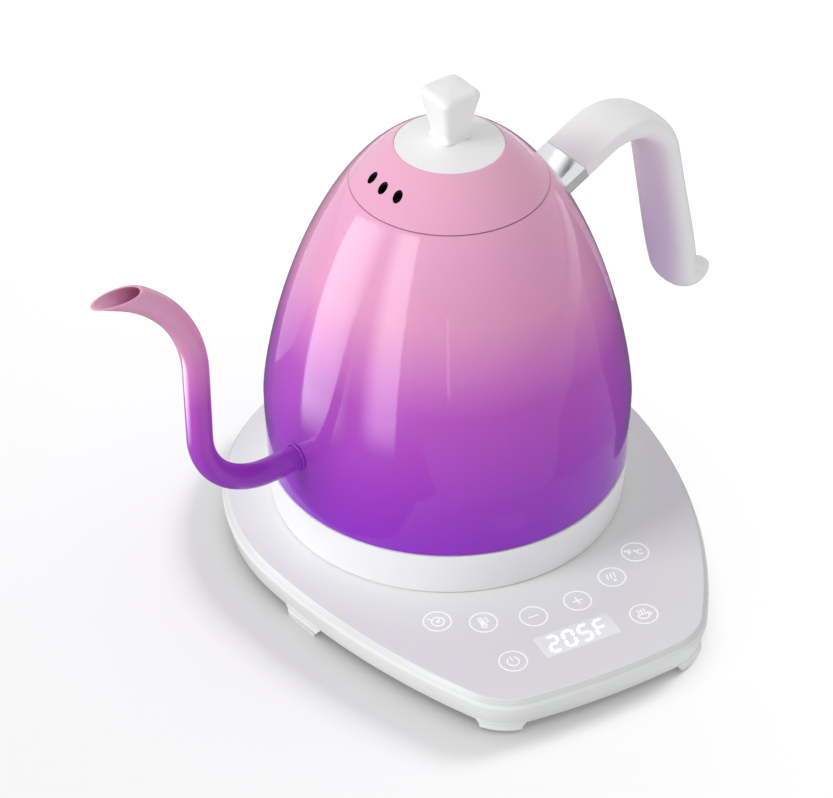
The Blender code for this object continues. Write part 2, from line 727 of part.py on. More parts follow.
def build_electronics():
    waist = -(CONTROL_BOARD_REAR + CONTROL_BOARD_FRONT) / 2.0
    half_rear = CONTROL_BOARD_REAR_WIDTH / 2.0
    half_front = CONTROL_BOARD_FRONT_WIDTH / 2.0
    right = [(half_front, -CONTROL_BOARD_FRONT), (half_rear, waist), (half_rear, -CONTROL_BOARD_REAR)]
    board = right + [(-x, y) for x, y in reversed(right)]
    prisms("control_board", [board], CONTROL_BOARD_BOTTOM, CONTROL_BOARD_TOP, "circuit board", BASE)
    seat = CONTROL_BOARD_TOP + GAP
    under = PANEL_UNDERSIDE - GAP
    screen = rectangle(DISPLAY_WIDTH, DISPLAY_DEPTH, 0.0, DISPLAY_SETBACK - BASE_FRONT_REACH)
    prisms("display_module", [screen], seat, under, "display glass", BASE)
    number = 0
    for setback, spread in KEY_PLACES:
        for side in (-1.0, 1.0):
            number += 1
            pad = circle(KEY_PAD_RADIUS, STEPS_TINY, side * spread, setback - BASE_FRONT_REACH)
            prisms("touch_pad_%d" % number, [pad], seat, under, "brass", BASE)
    middle = power_board_middle()
    plate = rectangle(POWER_BOARD_WIDTH, POWER_BOARD_DEPTH, 0.0, middle)
    prisms("power_board", [plate], POWER_BOARD_BOTTOM, POWER_BOARD_TOP, "circuit board", BASE)
    seat = POWER_BOARD_TOP + GAP
    crown = seat + COMPONENT_HEIGHT
    across = POWER_BOARD_WIDTH / 4.0
    along = POWER_BOARD_DEPTH / 4.0
    blocks = (
        ("relay", rectangle(across, along * 1.4, -across, middle - along), "blue film"),
        ("transformer", rectangle(across * 1.1, along * 1.7, across, middle - along), "black plastic"),
        ("filter_capacitor", rectangle(across * 1.2, along, -across, middle + along), "blue film"),
    )
    for name, plan, finish in blocks:
        prisms(name, [plan], seat, crown, finish, BASE)
    speaker = circle(BUZZER_RADIUS, STEPS_SMALL, across, middle + along)
    prisms("buzzer", [speaker], seat, crown, "black plastic", BASE)


def build_grommet():
    """Bush in the rear wall that the mains lead passes through."""
    half = GROMMET_WIDTH / 2.0
    flange = half + GROMMET_FLANGE
    outer = BASE_BACK_RADIUS
    wall_face = BASE_BACK_RADIUS - tray_wall_inset() - TRAY_WALL
    shoulder = math.sqrt(wall_face ** 2 - flange ** 2) - GAP
    inner = outer - GROMMET_LENGTH
    right = [(half, outer), (half, shoulder), (flange, shoulder), (flange, inner)]
    plan = [(-x, y) for x, y in right] + list(reversed(right))
    bottom = TRAY_FLOOR_TOP + GAP
    top = TRAY_TOP - GAP
    grommet = prisms("cord_grommet", [plan], bottom, top, "black rubber", BASE)
    shape = bmesh.new()
    rows = [circle(CORD_RADIUS, STEPS_TINY, 0.0, (bottom + top) / 2.0)] * 2
    ends = (outer + GROMMET_FLANGE, inner - GROMMET_FLANGE)
    add_loft(shape, [[(x, y, z) for x, z in row] for row, y in zip(rows, ends)])
    cut(grommet, add_object("cord_hole", mesh_from("cord_hole", shape), None, BASE))


# Kettle.

def build_shell():
    top = SEAM_HEIGHT - SEAM_WIDTH / 2.0
    foot = SKIRT_HEIGHT + GAP
    inside_foot = foot + SHELL_WALL
    profile = [(egg_radius(z), z) for z in reversed(spaced(foot, top, 13, 1.25))]
    profile += [(TUCK_OUTER_RADIUS, foot), (TUCK_OUTER_RADIUS, SHELL_TUCK_HEIGHT)]
    profile += [(TUCK_INNER_RADIUS, SHELL_TUCK_HEIGHT), (TUCK_INNER_RADIUS, inside_foot)]
    profile += [(egg_inner_radius(z, SHELL_WALL), z) for z in spaced(inside_foot, top, 8, 1.25)]
    shell = lathe("kettle_shell", profile, STEPS_LARGE, "painted steel", KETTLE)
    reach = SPOUT_STANDOFF / 2.0
    wall_in = egg_radius(SPOUT_HEIGHT) - reach
    wall_out = egg_radius(SPOUT_HEIGHT) + reach
    hole = tube_mesh("spout_hole", [(-wall_in, 0.0, SPOUT_HEIGHT), (-wall_out, 0.0, SPOUT_HEIGHT)],
                     SPOUT_RADIUS + GAP, 4, KETTLE)
    cut(shell, add_object("spout_hole", hole, None, KETTLE))


def build_mouth():
    """Pressed neck inside the mouth: a ledge for the lid and a short tube below it."""
    ledge_under = LEDGE_HEIGHT - MOUTH_WALL
    rim = egg_inner_radius(LEDGE_HEIGHT, SHELL_WALL) - GAP
    outer = MOUTH_RADIUS + MOUTH_WALL
    profile = [
        (rim, LEDGE_HEIGHT), (rim, ledge_under), (outer, ledge_under), (outer, MOUTH_BOTTOM),
        (MOUTH_RADIUS, MOUTH_BOTTOM), (MOUTH_RADIUS, LEDGE_HEIGHT),
    ]
    lathe("mouth_collar", profile, STEPS_INNER, "steel", KETTLE)


def build_floor():
    top = FLOOR_HEIGHT + FLOOR_THICKNESS
    rim = TUCK_INNER_RADIUS - GAP
    flange_in = rim - FLOOR_THICKNESS
    flange_top = FLOOR_HEIGHT + FLOOR_FLANGE
    profile = [
        (0.0, top), (flange_in, top), (flange_in, flange_top), (rim, flange_top),
        (rim, FLOOR_HEIGHT), (0.0, FLOOR_HEIGHT),
    ]
    floor = lathe("kettle_floor", profile, STEPS_INNER, "steel", KETTLE, closed=False)
    studs = [circle(STUD_RADIUS, STEPS_TINY, x, y) for x, y in stud_places()]
    stud_bottom = COVER_TOP + GAP
    merge(floor, prisms("stud_posts", studs, stud_bottom, FLOOR_HEIGHT + FLOOR_THICKNESS / 2.0, None, KETTLE))
    bores = [circle(SCREW_SHANK_RADIUS + GAP, STEPS_TINY, x, y) for x, y in stud_places()]
    cut(floor, prisms("stud_bores", bores, COVER_HEIGHT, FLOOR_HEIGHT - FLOOR_THICKNESS, None, KETTLE))
    x, y = probe_place()
    hole = circle(PROBE_RADIUS + GAP + SEAL_WALL + GAP, STEPS_TINY, x, y)
    cut(floor, prisms("probe_hole", [hole], SPREADER_BOTTOM, FLOOR_HEIGHT + FLOOR_FLANGE * 2.0, None, KETTLE))
    length = FLOOR_HEIGHT - FLOOR_THICKNESS - SCREW_END_CLEARANCE - (COVER_HEIGHT - GAP)
    data = screw_mesh("cover_screw", length)
    for number, (x, y) in enumerate(stud_places(), 1):
        screw = add_object("cover_screw_%d" % number, data, "steel", KETTLE)
        screw.location = (x, y, COVER_HEIGHT - GAP)


def stud_places():
    return around(STUD_RING_RADIUS, 3, math.radians(90))


def probe_place():
    """The probe stands opposite one of the three studs."""
    return (0.0, -PROBE_RING_RADIUS)


def build_heater():
    disc = [(0.0, SPREADER_TOP), (SPREADER_RADIUS, SPREADER_TOP),
            (SPREADER_RADIUS, SPREADER_BOTTOM), (0.0, SPREADER_BOTTOM)]
    lathe("heat_spreader", disc, STEPS_INNER, "aluminium", KETTLE, closed=False)
    height = SPREADER_BOTTOM - GAP - ELEMENT_TUBE_RADIUS
    first = ELEMENT_OPENING / 2.0
    bearings = spaced(first, math.tau - first, 23)
    loop = [(ELEMENT_RING_RADIUS * math.cos(a), ELEMENT_RING_RADIUS * math.sin(a), height) for a in bearings]
    data = tube_mesh("heating_element", loop, ELEMENT_TUBE_RADIUS, 2, KETTLE)
    add_object("heating_element", data, "steel", KETTLE)
    inner = SOCKET_RADIUS + SOCKET_FLANGE
    outer = ELEMENT_RING_RADIUS - ELEMENT_TUBE_RADIUS
    plan = circle(THERMOSTAT_RADIUS, STEPS_SMALL, 0.0, (inner + outer) / 2.0)
    top = SPREADER_BOTTOM - GAP
    prisms("boil_dry_thermostat", [plan], top - THERMOSTAT_HEIGHT, top, "black plastic", KETTLE)


def build_probe():
    x, y = probe_place()
    floor_top = FLOOR_HEIGHT + FLOOR_THICKNESS
    bottom = FLOOR_HEIGHT - PROBE_LENGTH / 3.0
    tip = bottom + PROBE_LENGTH
    nose = PROBE_RADIUS
    profile = [(0.0, tip), (nose * 0.7, tip - nose * 0.3), (nose, tip - nose), (nose, bottom), (0.0, bottom)]
    probe = lathe("temperature_probe", profile, STEPS_TINY, "steel", KETTLE, closed=False)
    probe.location = (x, y, 0.0)
    bore = PROBE_RADIUS + GAP
    body = bore + SEAL_WALL
    flange = body + SEAL_FLANGE
    upper = floor_top + GAP
    lower = FLOOR_HEIGHT - GAP
    section = [
        (flange, upper + SEAL_FLANGE), (flange, upper), (body, upper),
        (body, lower), (flange, lower), (flange, lower - SEAL_FLANGE),
        (bore, lower - SEAL_FLANGE), (bore, upper + SEAL_FLANGE),
    ]
    seal = lathe("probe_seal", section, STEPS_TINY, "grey silicone", KETTLE)
    seal.location = (x, y, 0.0)


def build_skirt():
    bottom = GAP
    ease = SKIRT_WALL * 0.3
    lean = (SKIRT_TOP_RADIUS - SKIRT_BOTTOM_RADIUS) / SKIRT_HEIGHT
    profile = [
        (SKIRT_INNER_RADIUS, SKIRT_HEIGHT), (SKIRT_TOP_RADIUS - ease, SKIRT_HEIGHT),
        (SKIRT_TOP_RADIUS, SKIRT_HEIGHT - ease), (SKIRT_BOTTOM_RADIUS + lean * ease, bottom + ease),
        (SKIRT_BOTTOM_RADIUS - ease, bottom), (SKIRT_INNER_RADIUS, bottom),
    ]
    lathe("skirt_ring", profile, STEPS_LARGE, "white plastic", KETTLE)
    rim = SKIRT_INNER_RADIUS - GAP
    opening = SOCKET_RADIUS + COUPLING_CLEARANCE
    wall_top = SHELL_TUCK_HEIGHT - GAP
    wall = COVER_THICKNESS * 0.8
    cover = [
        (rim, wall_top), (rim, COVER_HEIGHT), (opening, COVER_HEIGHT), (opening, COVER_TOP),
        (rim - wall, COVER_TOP), (rim - wall, wall_top),
    ]
    bottom_cover = lathe("bottom_cover", cover, STEPS_INNER, "white plastic", KETTLE)
    holes = [circle(SCREW_SHANK_RADIUS + GAP, STEPS_TINY, x, y) for x, y in stud_places()]
    cut(bottom_cover, prisms("cover_holes", holes, 0.0, COVER_TOP + COVER_THICKNESS, None, KETTLE))


def build_socket():
    """Round socket that drops over the plug in any direction; it sits in the cover."""
    roof = SOCKET_CEILING + SOCKET_ROOF
    flange = SOCKET_RADIUS + SOCKET_FLANGE
    flange_bottom = COVER_TOP + GAP
    flange_top = flange_bottom + COVER_THICKNESS
    profile = [
        (0.0, roof), (SOCKET_RADIUS - SOCKET_ROOF / 2.0, roof), (SOCKET_RADIUS, roof - SOCKET_ROOF / 2.0),
        (SOCKET_RADIUS, flange_top), (flange, flange_top), (flange, flange_bottom),
        (SOCKET_RADIUS, flange_bottom), (SOCKET_RADIUS, SOCKET_BOTTOM),
        (SOCKET_BORE, SOCKET_BOTTOM), (SOCKET_BORE, SOCKET_CEILING), (0.0, SOCKET_CEILING),
    ]
    lathe("coupler_socket", profile, STEPS_SMALL, "black plastic", COUPLER, closed=False)
    hang = SOCKET_CEILING - GAP
    outer = PLUG_SLOT_OUTER - COUPLING_CLEARANCE
    blade = ring_profile(outer - CONTACT_WALL, outer, hang - PLUG_SLOT_DEPTH + COUPLING_CLEARANCE * 2.0, hang)
    lathe("socket_ring_contact", blade, STEPS_SMALL, "brass", COUPLER)
    pin_bottom = hang - PLUG_BORE_DEPTH + COUPLING_CLEARANCE * 4.0
    pin = [(0.0, hang), (PIN_RADIUS, hang), (PIN_RADIUS, pin_bottom + PIN_RADIUS),
           (PIN_RADIUS / 2.0, pin_bottom), (0.0, pin_bottom)]
    lathe("socket_centre_pin", pin, STEPS_TINY, "brass", COUPLER, closed=False)


def body_clearance():
    """Solid egg, a gap larger than the shell, that trims what is fixed to its outside."""
    heights = spaced(SKIRT_HEIGHT, CAP_HEIGHT, 25, 1.3)
    side = [(egg_radius(z) + GAP, z) for z in reversed(heights)]
    profile = [(0.0, CAP_HEIGHT)] + side + [(0.0, SKIRT_HEIGHT)]
    return lathe("body_clearance", profile, STEPS_LARGE * 2, None, KETTLE, closed=False)


def spout_stations():
    start = egg_radius(SPOUT_HEIGHT) - SHELL_WALL
    straight = SPOUT_STANDOFF + SHELL_WALL - SPOUT_LOWER_BEND
    runs = (
        (straight, 0.0, 1),
        (SPOUT_LOWER_BEND, math.pi / 2.0, 7),
        (SPOUT_RISER, 0.0, 1),
        (SPOUT_UPPER_BEND, -SPOUT_TIP_TURN, 6),
        (SPOUT_RADIUS * 6.0, 0.0, 2),
    )
    return follow_path((start, SPOUT_HEIGHT), 0.0, runs)


def build_spout(clearance):
    points = [(-place.x, 0.0, place.y) for place, heading, run, share in spout_stations()]
    tube = add_object("spout_tube", tube_mesh("spout_tube", points, SPOUT_RADIUS, 4, KETTLE),
                      "painted steel", KETTLE)
    lead_in = (points[0][0] + SPOUT_RADIUS, 0.0, SPOUT_HEIGHT)
    last = Vector(points[-1])
    lead_out = last + (last - Vector(points[-2]))
    bore = tube_mesh("spout_bore", [lead_in] + points[1:-1] + [tuple(lead_out)], SPOUT_BORE, 2, KETTLE)
    cut(tube, add_object("spout_bore", bore, None, KETTLE))
    tip = -points[-1][0]
    block = rectangle(tip, SPOUT_RADIUS * 6.0, -tip, 0.0)
    trim_top = SPOUT_MOUTH_HEIGHT + tip / 2.0
    cut(tube, prisms("spout_mouth_trim", [block], SPOUT_MOUTH_HEIGHT, trim_top, None, KETTLE))
    inner = SPOUT_RADIUS + GAP
    root = egg_radius(SPOUT_HEIGHT)
    outer = inner + SPOUT_COLLAR_WIDTH
    profile = ring_profile(inner, outer, root - SPOUT_COLLAR_DEPTH, root + SPOUT_COLLAR_DEPTH)
    collar = lathe("spout_collar", profile, STEPS_SMALL, "painted steel", KETTLE)
    collar.rotation_euler = (0.0, -math.pi / 2.0, 0.0)
    collar.location = (0.0, 0.0, SPOUT_HEIGHT)
    cut(collar, clearance)


HANDLE_RUNS = (
    (HANDLE_RISE, 0.0, 4),
    (HANDLE_BEND_RADIUS, -(math.pi / 2.0 + HANDLE_RISE_ANGLE - HANDLE_DROP_ANGLE), 9),
    (HANDLE_DROP, 0.0, 3),
    (HANDLE_LIP_RADIUS, HANDLE_LIP_TURN, 7),
)


def handle_stations():
    root = (egg_radius(HANDLE_ROOT_HEIGHT), HANDLE_ROOT_HEIGHT)
    return follow_path(root, HANDLE_RISE_ANGLE, HANDLE_RUNS)


def run_length(run):
    size, turn = HANDLE_RUNS[run][:2]
    return size * abs(turn) if turn else size


def handle_section(run, share):
    """Width, thickness and corner radius of the handle's bar at a station.

    The bar swells from the flat root to a rounder grip, and narrows to the lip in half an ellipse.
    """
    thickness = (HANDLE_ROOT_THICKNESS, HANDLE_ROOT_THICKNESS, HANDLE_BEND_THICKNESS,
                 HANDLE_DROP_THICKNESS, HANDLE_LIP_THICKNESS)
    eased = share * share * (3.0 - 2.0 * share)
    deep = thickness[run] + (thickness[run + 1] - thickness[run]) * eased
    soft = deep * HANDLE_CORNER_SHARE
    if run == 0:
        soft = HANDLE_ROOT_CORNER
    elif run == 1:
        soft = HANDLE_ROOT_CORNER + (soft - HANDLE_ROOT_CORNER) * eased
    left = (1.0 - share) * run_length(run)
    left += sum(run_length(later) for later in range(run + 1, len(HANDLE_RUNS)))
    widths = (HANDLE_WIDTH, HANDLE_WIDTH, HANDLE_GRIP_WIDTH, HANDLE_GRIP_WIDTH, HANDLE_GRIP_WIDTH)
    width = widths[run] + (widths[run + 1] - widths[run]) * eased
    if left < HANDLE_END_LENGTH:
        reach = HANDLE_END_SHARE * (1.0 - left / HANDLE_END_LENGTH)
        width *= math.sqrt(1.0 - reach ** 2)
    return width, deep, min(soft, width * HANDLE_CORNER_SHARE)


def bar_ring(place, heading, width, thickness, corner):
    """Cross-section of the handle's bar at a station, in the kettle's frame."""
    normal = Vector((-math.sin(heading), math.cos(heading)))
    ring = []
    for across, through in rounded_rectangle(width, thickness, corner, 3):
        point = place + normal * through
        ring.append((point.x, across, point.y))
    return ring


def rise_place(distance):
    """Point on the handle's straight root, at a distance from the shell."""
    root = Vector((egg_radius(HANDLE_ROOT_HEIGHT), HANDLE_ROOT_HEIGHT))
    return root + Vector((math.cos(HANDLE_RISE_ANGLE), math.sin(HANDLE_RISE_ANGLE))) * distance


def root_bar(first, last, width, thickness, corner):
    return [bar_ring(rise_place(s), HANDLE_RISE_ANGLE, width, thickness, corner) for s in (first, last)]


def build_handle(clearance):
    tongue_end = BRACKET_LENGTH + TONGUE_LENGTH
    bar = (HANDLE_WIDTH, HANDLE_ROOT_THICKNESS, HANDLE_ROOT_CORNER)
    tongue = (TONGUE_WIDTH, TONGUE_THICKNESS, TONGUE_THICKNESS * 0.2)
    pocket = (TONGUE_WIDTH + 2.0 * GAP, TONGUE_THICKNESS + 2.0 * GAP, TONGUE_THICKNESS * 0.2)
    bracket = loft("handle_bracket", root_bar(-2.0 * BRACKET_LENGTH, BRACKET_LENGTH, *bar), "steel", KETTLE)
    cut(bracket, clearance)
    merge(bracket, loft("bracket_tongue", root_bar(BRACKET_LENGTH / 2.0, tongue_end, *tongue), None, KETTLE))
    grip_start = BRACKET_LENGTH + GAP
    rings = [bar_ring(rise_place(grip_start), HANDLE_RISE_ANGLE, *bar)]
    for place, heading, run, share in handle_stations():
        if run == 0 and share * HANDLE_RISE <= grip_start + HANDLE_RISE / 8.0:
            continue
        rings.append(bar_ring(place, heading, *handle_section(run, share)))
    grip = loft("handle_grip", rings, "white plastic", KETTLE)
    cut(grip, loft("grip_pocket", root_bar(BRACKET_LENGTH - GAP, tongue_end + GAP, *pocket), None, KETTLE))
    depth = HANDLE_ROOT_THICKNESS / 2.0
    drill = SCREW_SHANK_RADIUS + GAP
    sink = SCREW_HEAD_RADIUS + GAP
    head_seat = -depth + SCREW_HEAD_HEIGHT
    middle = BRACKET_LENGTH + TONGUE_LENGTH * 0.55
    tip = TONGUE_THICKNESS / 2.0 + 2.0 * GAP
    length = tip - head_seat
    data = screw_mesh("handle_screw", length)
    shape = bmesh.new()
    shape_tongue = bmesh.new()
    for number, side in enumerate((-1.0, 1.0), 1):
        frame = screw_frame(middle, side * TONGUE_WIDTH / 4.0)
        screw = add_object("handle_screw_%d" % number, data, "steel", KETTLE)
        screw.matrix_local = frame @ Matrix.Translation((0.0, 0.0, head_seat))
        shoulder = head_seat + GAP
        stepped = ((sink, -2.0 * depth), (sink, shoulder), (drill, shoulder), (drill, tip + GAP))
        add_loft(shape, drill_rings(frame, stepped))
        plain = ((drill, -TONGUE_THICKNESS), (drill, TONGUE_THICKNESS))
        add_loft(shape_tongue, drill_rings(frame, plain))
    cut(grip, add_object("grip_screw_holes", mesh_from("grip_screw_holes", shape), None, KETTLE))
    cut(bracket, add_object("tongue_holes", mesh_from("tongue_holes", shape_tongue), None, KETTLE))


def drill_rings(frame, steps):
    """Rings of a stepped hole, given as radius and height pairs along a screw's frame."""
    return [[frame @ Vector(point) for point in level(circle(r, STEPS_TINY), z)] for r, z in steps]


def screw_frame(distance, across):
    """Frame of a screw that enters the handle's root square to it from below."""
    place = rise_place(distance)
    turn = Matrix.Rotation(-HANDLE_RISE_ANGLE, 4, "Y")
    return Matrix.Translation((place.x, across, place.y)) @ turn


# Lid.

def build_lid():
    rim = SEAM_HEIGHT + SEAM_WIDTH / 2.0
    seat = LEDGE_HEIGHT + GAP
    cap_edge = egg_radius(CAP_HEIGHT)
    bore = SCREW_SHANK_RADIUS + GAP
    plug = egg_inner_radius(SEAM_HEIGHT - SEAM_WIDTH / 2.0, SHELL_WALL) - GAP
    plug_inner = plug - LID_WALL
    outer = [(egg_radius(z), z) for z in spaced(CAP_HEIGHT, rim, 7)]
    heights = spaced(rim + LID_WALL, CAP_SEAT - LID_WALL, 4)
    inner = [(min(egg_inner_radius(z, LID_WALL), plug_inner), z) for z in heights]
    profile = [(bore, CAP_SEAT), (cap_edge - GAP, CAP_SEAT), (cap_edge - GAP, CAP_HEIGHT)] + outer
    profile += [(plug, rim), (plug, seat), (plug_inner, seat)] + inner + [(bore, CAP_SEAT - LID_WALL)]
    shell = lathe("lid_shell", profile, STEPS_MEDIUM, "lid paint", LID)
    vents = bmesh.new()
    radius = egg_radius(VENT_HEIGHT)
    for step in (-1, 0, 1):
        angle = math.pi + step * VENT_SPACING
        ring = circle(VENT_RADIUS, STEPS_TINY, radius * math.cos(angle), radius * math.sin(angle))
        low = VENT_HEIGHT - LID_WALL * 5.0
        high = VENT_HEIGHT + LID_WALL * 5.0
        add_loft(vents, [level(ring, low), level(ring, high)])
    cut(shell, add_object("vent_holes", mesh_from("vent_holes", vents), None, LID))


def build_liner():
    """Inner cup of the lid: it hangs in the mouth, with steam holes under the vents."""
    top = CAP_SEAT - LID_WALL - GAP
    hub = SCREW_HEAD_RADIUS * 2.0
    skirt = MOUTH_RADIUS - GAP - GASKET_WIDTH - GAP
    low = LEDGE_HEIGHT - GASKET_HEIGHT * 1.6
    floor_top = low + LINER_WALL
    bore = SCREW_SHANK_RADIUS + GAP
    flange = MOUTH_RADIUS + LINER_WALL
    flange_bottom = LEDGE_HEIGHT + GAP
    flange_top = flange_bottom + LINER_WALL
    profile = [
        (bore, top), (hub, top), (hub, floor_top),
        (skirt - LINER_WALL, floor_top), (skirt - LINER_WALL, flange_top), (flange, flange_top),
        (flange, flange_bottom), (skirt, flange_bottom), (skirt, low), (bore, low),
    ]
    liner = lathe("lid_liner", profile, STEPS_INNER, "steel", LID)
    holes = []
    radius = (hub + skirt) / 2.0
    for step in (-1, 0, 1):
        angle = math.pi + step * VENT_SPACING * 1.5
        holes.append(circle(VENT_RADIUS, STEPS_TINY, radius * math.cos(angle), radius * math.sin(angle)))
    cut(liner, prisms("liner_holes", holes, low - LINER_WALL, floor_top + LINER_WALL, None, LID))
    inner = skirt + GAP
    outer = inner + GASKET_WIDTH
    gasket_top = flange_bottom - GAP * 2.0
    bulge = GASKET_WIDTH * 0.3
    section = [
        (outer - bulge, gasket_top), (outer, gasket_top - bulge), (outer - bulge, gasket_top - GASKET_HEIGHT),
        (inner, gasket_top - GASKET_HEIGHT), (inner, gasket_top),
    ]
    lathe("lid_gasket", section, STEPS_INNER, "grey silicone", LID)
    length = knob_bottom() + KNOB_HEIGHT / 2.0 - low
    screw = add_object("knob_screw", screw_mesh("knob_screw", length), "steel", LID)
    screw.location = (0.0, 0.0, low - GAP)


def knob_bottom():
    return CAP_TOP_HEIGHT + GAP


def build_cap_and_knob():
    bore = SCREW_SHANK_RADIUS + GAP
    edge = egg_radius(CAP_HEIGHT) - 2.0 * GAP
    under = CAP_SEAT + GAP
    span = edge - CAP_TOP_RADIUS
    slope = []
    for u in (0.25, 0.5, 0.78, 0.95):
        slope.append((CAP_TOP_RADIUS + span * u, CAP_TOP_HEIGHT - CAP_RISE * u ** CAP_CURVE))
    profile = [(bore, CAP_TOP_HEIGHT), (CAP_TOP_RADIUS, CAP_TOP_HEIGHT)] + slope
    profile += [(edge, CAP_HEIGHT - CAP_RISE * CAP_EDGE_SHARE), (edge, under), (bore, under)]
    lathe("lid_cap", profile, STEPS_INNER, "white plastic", LID)
    sections = (
        (0.0, KNOB_FOOT_SIDE, KNOB_CORNER * 1.5), (0.06, KNOB_FOOT_SIDE * 0.90, KNOB_CORNER * 1.4),
        (0.16, KNOB_WAIST_SIDE, KNOB_CORNER), (0.40, None, KNOB_CORNER),
        (0.70, None, KNOB_CORNER), (1.0 - KNOB_EDGE / KNOB_HEIGHT, KNOB_TOP_SIDE, KNOB_CORNER),
        (1.0 - 0.3 * KNOB_EDGE / KNOB_HEIGHT, KNOB_TOP_SIDE - 0.7 * KNOB_EDGE, KNOB_CORNER),
        (1.0, KNOB_TOP_SIDE - 2.0 * KNOB_EDGE, KNOB_CORNER * 0.7),
    )
    waist = sections[2][0]
    shoulder = sections[5][0]
    rings = []
    for share, side, corner in sections:
        if side is None:
            climb = (share - waist) / (shoulder - waist)
            side = KNOB_WAIST_SIDE + (KNOB_TOP_SIDE - KNOB_WAIST_SIDE) * climb
        height = knob_bottom() + KNOB_HEIGHT * share
        rings.append(level(rounded_rectangle(side, side, corner, 4), height))
    knob = loft("lid_knob", rings, "white plastic", LID)
    drill = circle(SCREW_SHANK_RADIUS + GAP, STEPS_TINY)
    depth = knob_bottom() + KNOB_HEIGHT * 0.6
    cut(knob, prisms("knob_bore", [drill], CAP_SEAT, depth, None, LID))


# Assembly.

def stand_on_origin():
    """Move the whole set so that its box stands centred on the origin."""
    bpy.context.view_layer.update()
    graph = bpy.context.evaluated_depsgraph_get()
    low = Vector((1.0, 1.0, 1.0))
    high = -low
    for obj in PARTS.objects:
        if obj.type != "MESH":
            continue
        shown = obj.evaluated_get(graph)
        for vertex in shown.to_mesh().vertices:
            place = shown.matrix_world @ vertex.co
            for axis in range(3):
                low[axis] = min(low[axis], place[axis])
                high[axis] = max(high[axis], place[axis])
        shown.to_mesh_clear()
    ROOT.location = (-(low.x + high.x) / 2.0, -(low.y + high.y) / 2.0, -low.z)
    bpy.context.view_layer.update()


def build():
    build_tray()
    build_panel()
    build_plug()
    build_electronics()
    build_grommet()
    build_shell()
    build_mouth()
    build_floor()
    build_heater()
    build_probe()
    build_skirt()
    build_socket()
    clearance = body_clearance()
    build_spout(clearance)
    build_handle(clearance)
    build_lid()
    build_liner()
    build_cap_and_knob()
    stand_on_origin()
    print("kettle axis at", [round(value, 6) for value in ROOT.location])


build()
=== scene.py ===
"""Dressed scene of an electric gooseneck kettle on its touch-control power base.

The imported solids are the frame. The forms that show are rebuilt here with finer curves in the
same places, and every piece takes a node material. Metres, +Z up, the base's front faces -Y.
"""
from math import asin, atan2, copysign, cos, hypot, pi, radians, sin, sqrt, tan, tau

import bmesh
import bpy
from mathutils import Matrix, Vector


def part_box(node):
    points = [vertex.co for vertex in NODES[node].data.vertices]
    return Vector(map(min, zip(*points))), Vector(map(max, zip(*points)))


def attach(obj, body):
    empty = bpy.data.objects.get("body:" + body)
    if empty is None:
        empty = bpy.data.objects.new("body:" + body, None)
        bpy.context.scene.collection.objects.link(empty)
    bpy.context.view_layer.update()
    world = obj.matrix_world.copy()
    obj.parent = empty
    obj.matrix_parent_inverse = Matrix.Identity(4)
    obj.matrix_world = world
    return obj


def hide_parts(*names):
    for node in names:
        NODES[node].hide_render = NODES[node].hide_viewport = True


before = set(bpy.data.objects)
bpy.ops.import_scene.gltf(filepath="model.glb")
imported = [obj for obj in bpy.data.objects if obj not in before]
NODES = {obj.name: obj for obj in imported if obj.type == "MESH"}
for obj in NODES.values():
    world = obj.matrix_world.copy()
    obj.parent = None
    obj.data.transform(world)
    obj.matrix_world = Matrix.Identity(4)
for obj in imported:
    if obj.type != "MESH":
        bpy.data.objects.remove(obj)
SCENE = bpy.context.scene
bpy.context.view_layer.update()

# Sizes: as in the solids, but for the base's crisper edge, its left side and the thinner spout collar.
GAP = 0.0003
QUARTER = pi / 2
FINE = 192

BASE_Z = 0.017
BACK_R, SIDE_R, LEFT_SIDE_R, CORNER_R, CORNER_SPREAD = 0.0914, 0.215, 0.31, 0.025, 0.06
FRONT_R, FRONT_REACH = 0.3, 0.132
FOOT_BOTTOM, FOOT_LENGTH, FOOT_DEPTH, SIDE_FOOT_SETBACK = 0.0015, 0.018, 0.0066, 0.0385
TRAY_BOTTOM, TRAY_FLOOR_TOP, TRAY_TOP = 0.0034, 0.0054, 0.0129
TRAY_WALL, TRAY_STEP, TRAY_LEAN = 0.002, 0.0007, 0.0013
RIM_DEPTH, RIM_WALL, EDGE_ROUND = 0.0038, 0.002, 0.0022
PANEL_UNDER = BASE_Z - 0.0023
HOUSING_SCREWS = [(side * 0.062, y) for side in (-1, 1) for y in (-0.038, 0.042)]

BELLY_R, BELLY_Z, DOME = 0.073, 0.0472, 0.1194
DOME_RISE, DOME_ROUND = 1.36, 2.212
EGG_TOP = BELLY_Z + DOME
SHELL_FOOT_R, SHELL_WALL = BELLY_R - 0.0007, 0.0008
SKIRT_Z = 0.0193
SKIRT_TOP_R = SHELL_FOOT_R + 0.0006
SKIRT_BOTTOM_R = SKIRT_TOP_R - 0.0014
SKIRT_INNER_R = SKIRT_BOTTOM_R - 0.0022
TUCK_R, TUCK_Z = SKIRT_INNER_R - GAP, 0.013

SEAM_Z, SEAM_WIDTH = EGG_TOP - 0.0215, 0.0004
CAP_Z, CAP_RISE, CAP_CREST, CAP_CURVE = EGG_TOP - 0.0057, 0.004, 0.0052, 0.62
CAP_TOP_Z, CAP_SEAT = CAP_Z + CAP_RISE, CAP_Z - 0.0014
LID_WALL, LEDGE_Z = 0.001, SEAM_Z - 0.0026
VENT_Z, VENT_R, VENT_SPACING = EGG_TOP - 0.0134, 0.0019, radians(14.6)

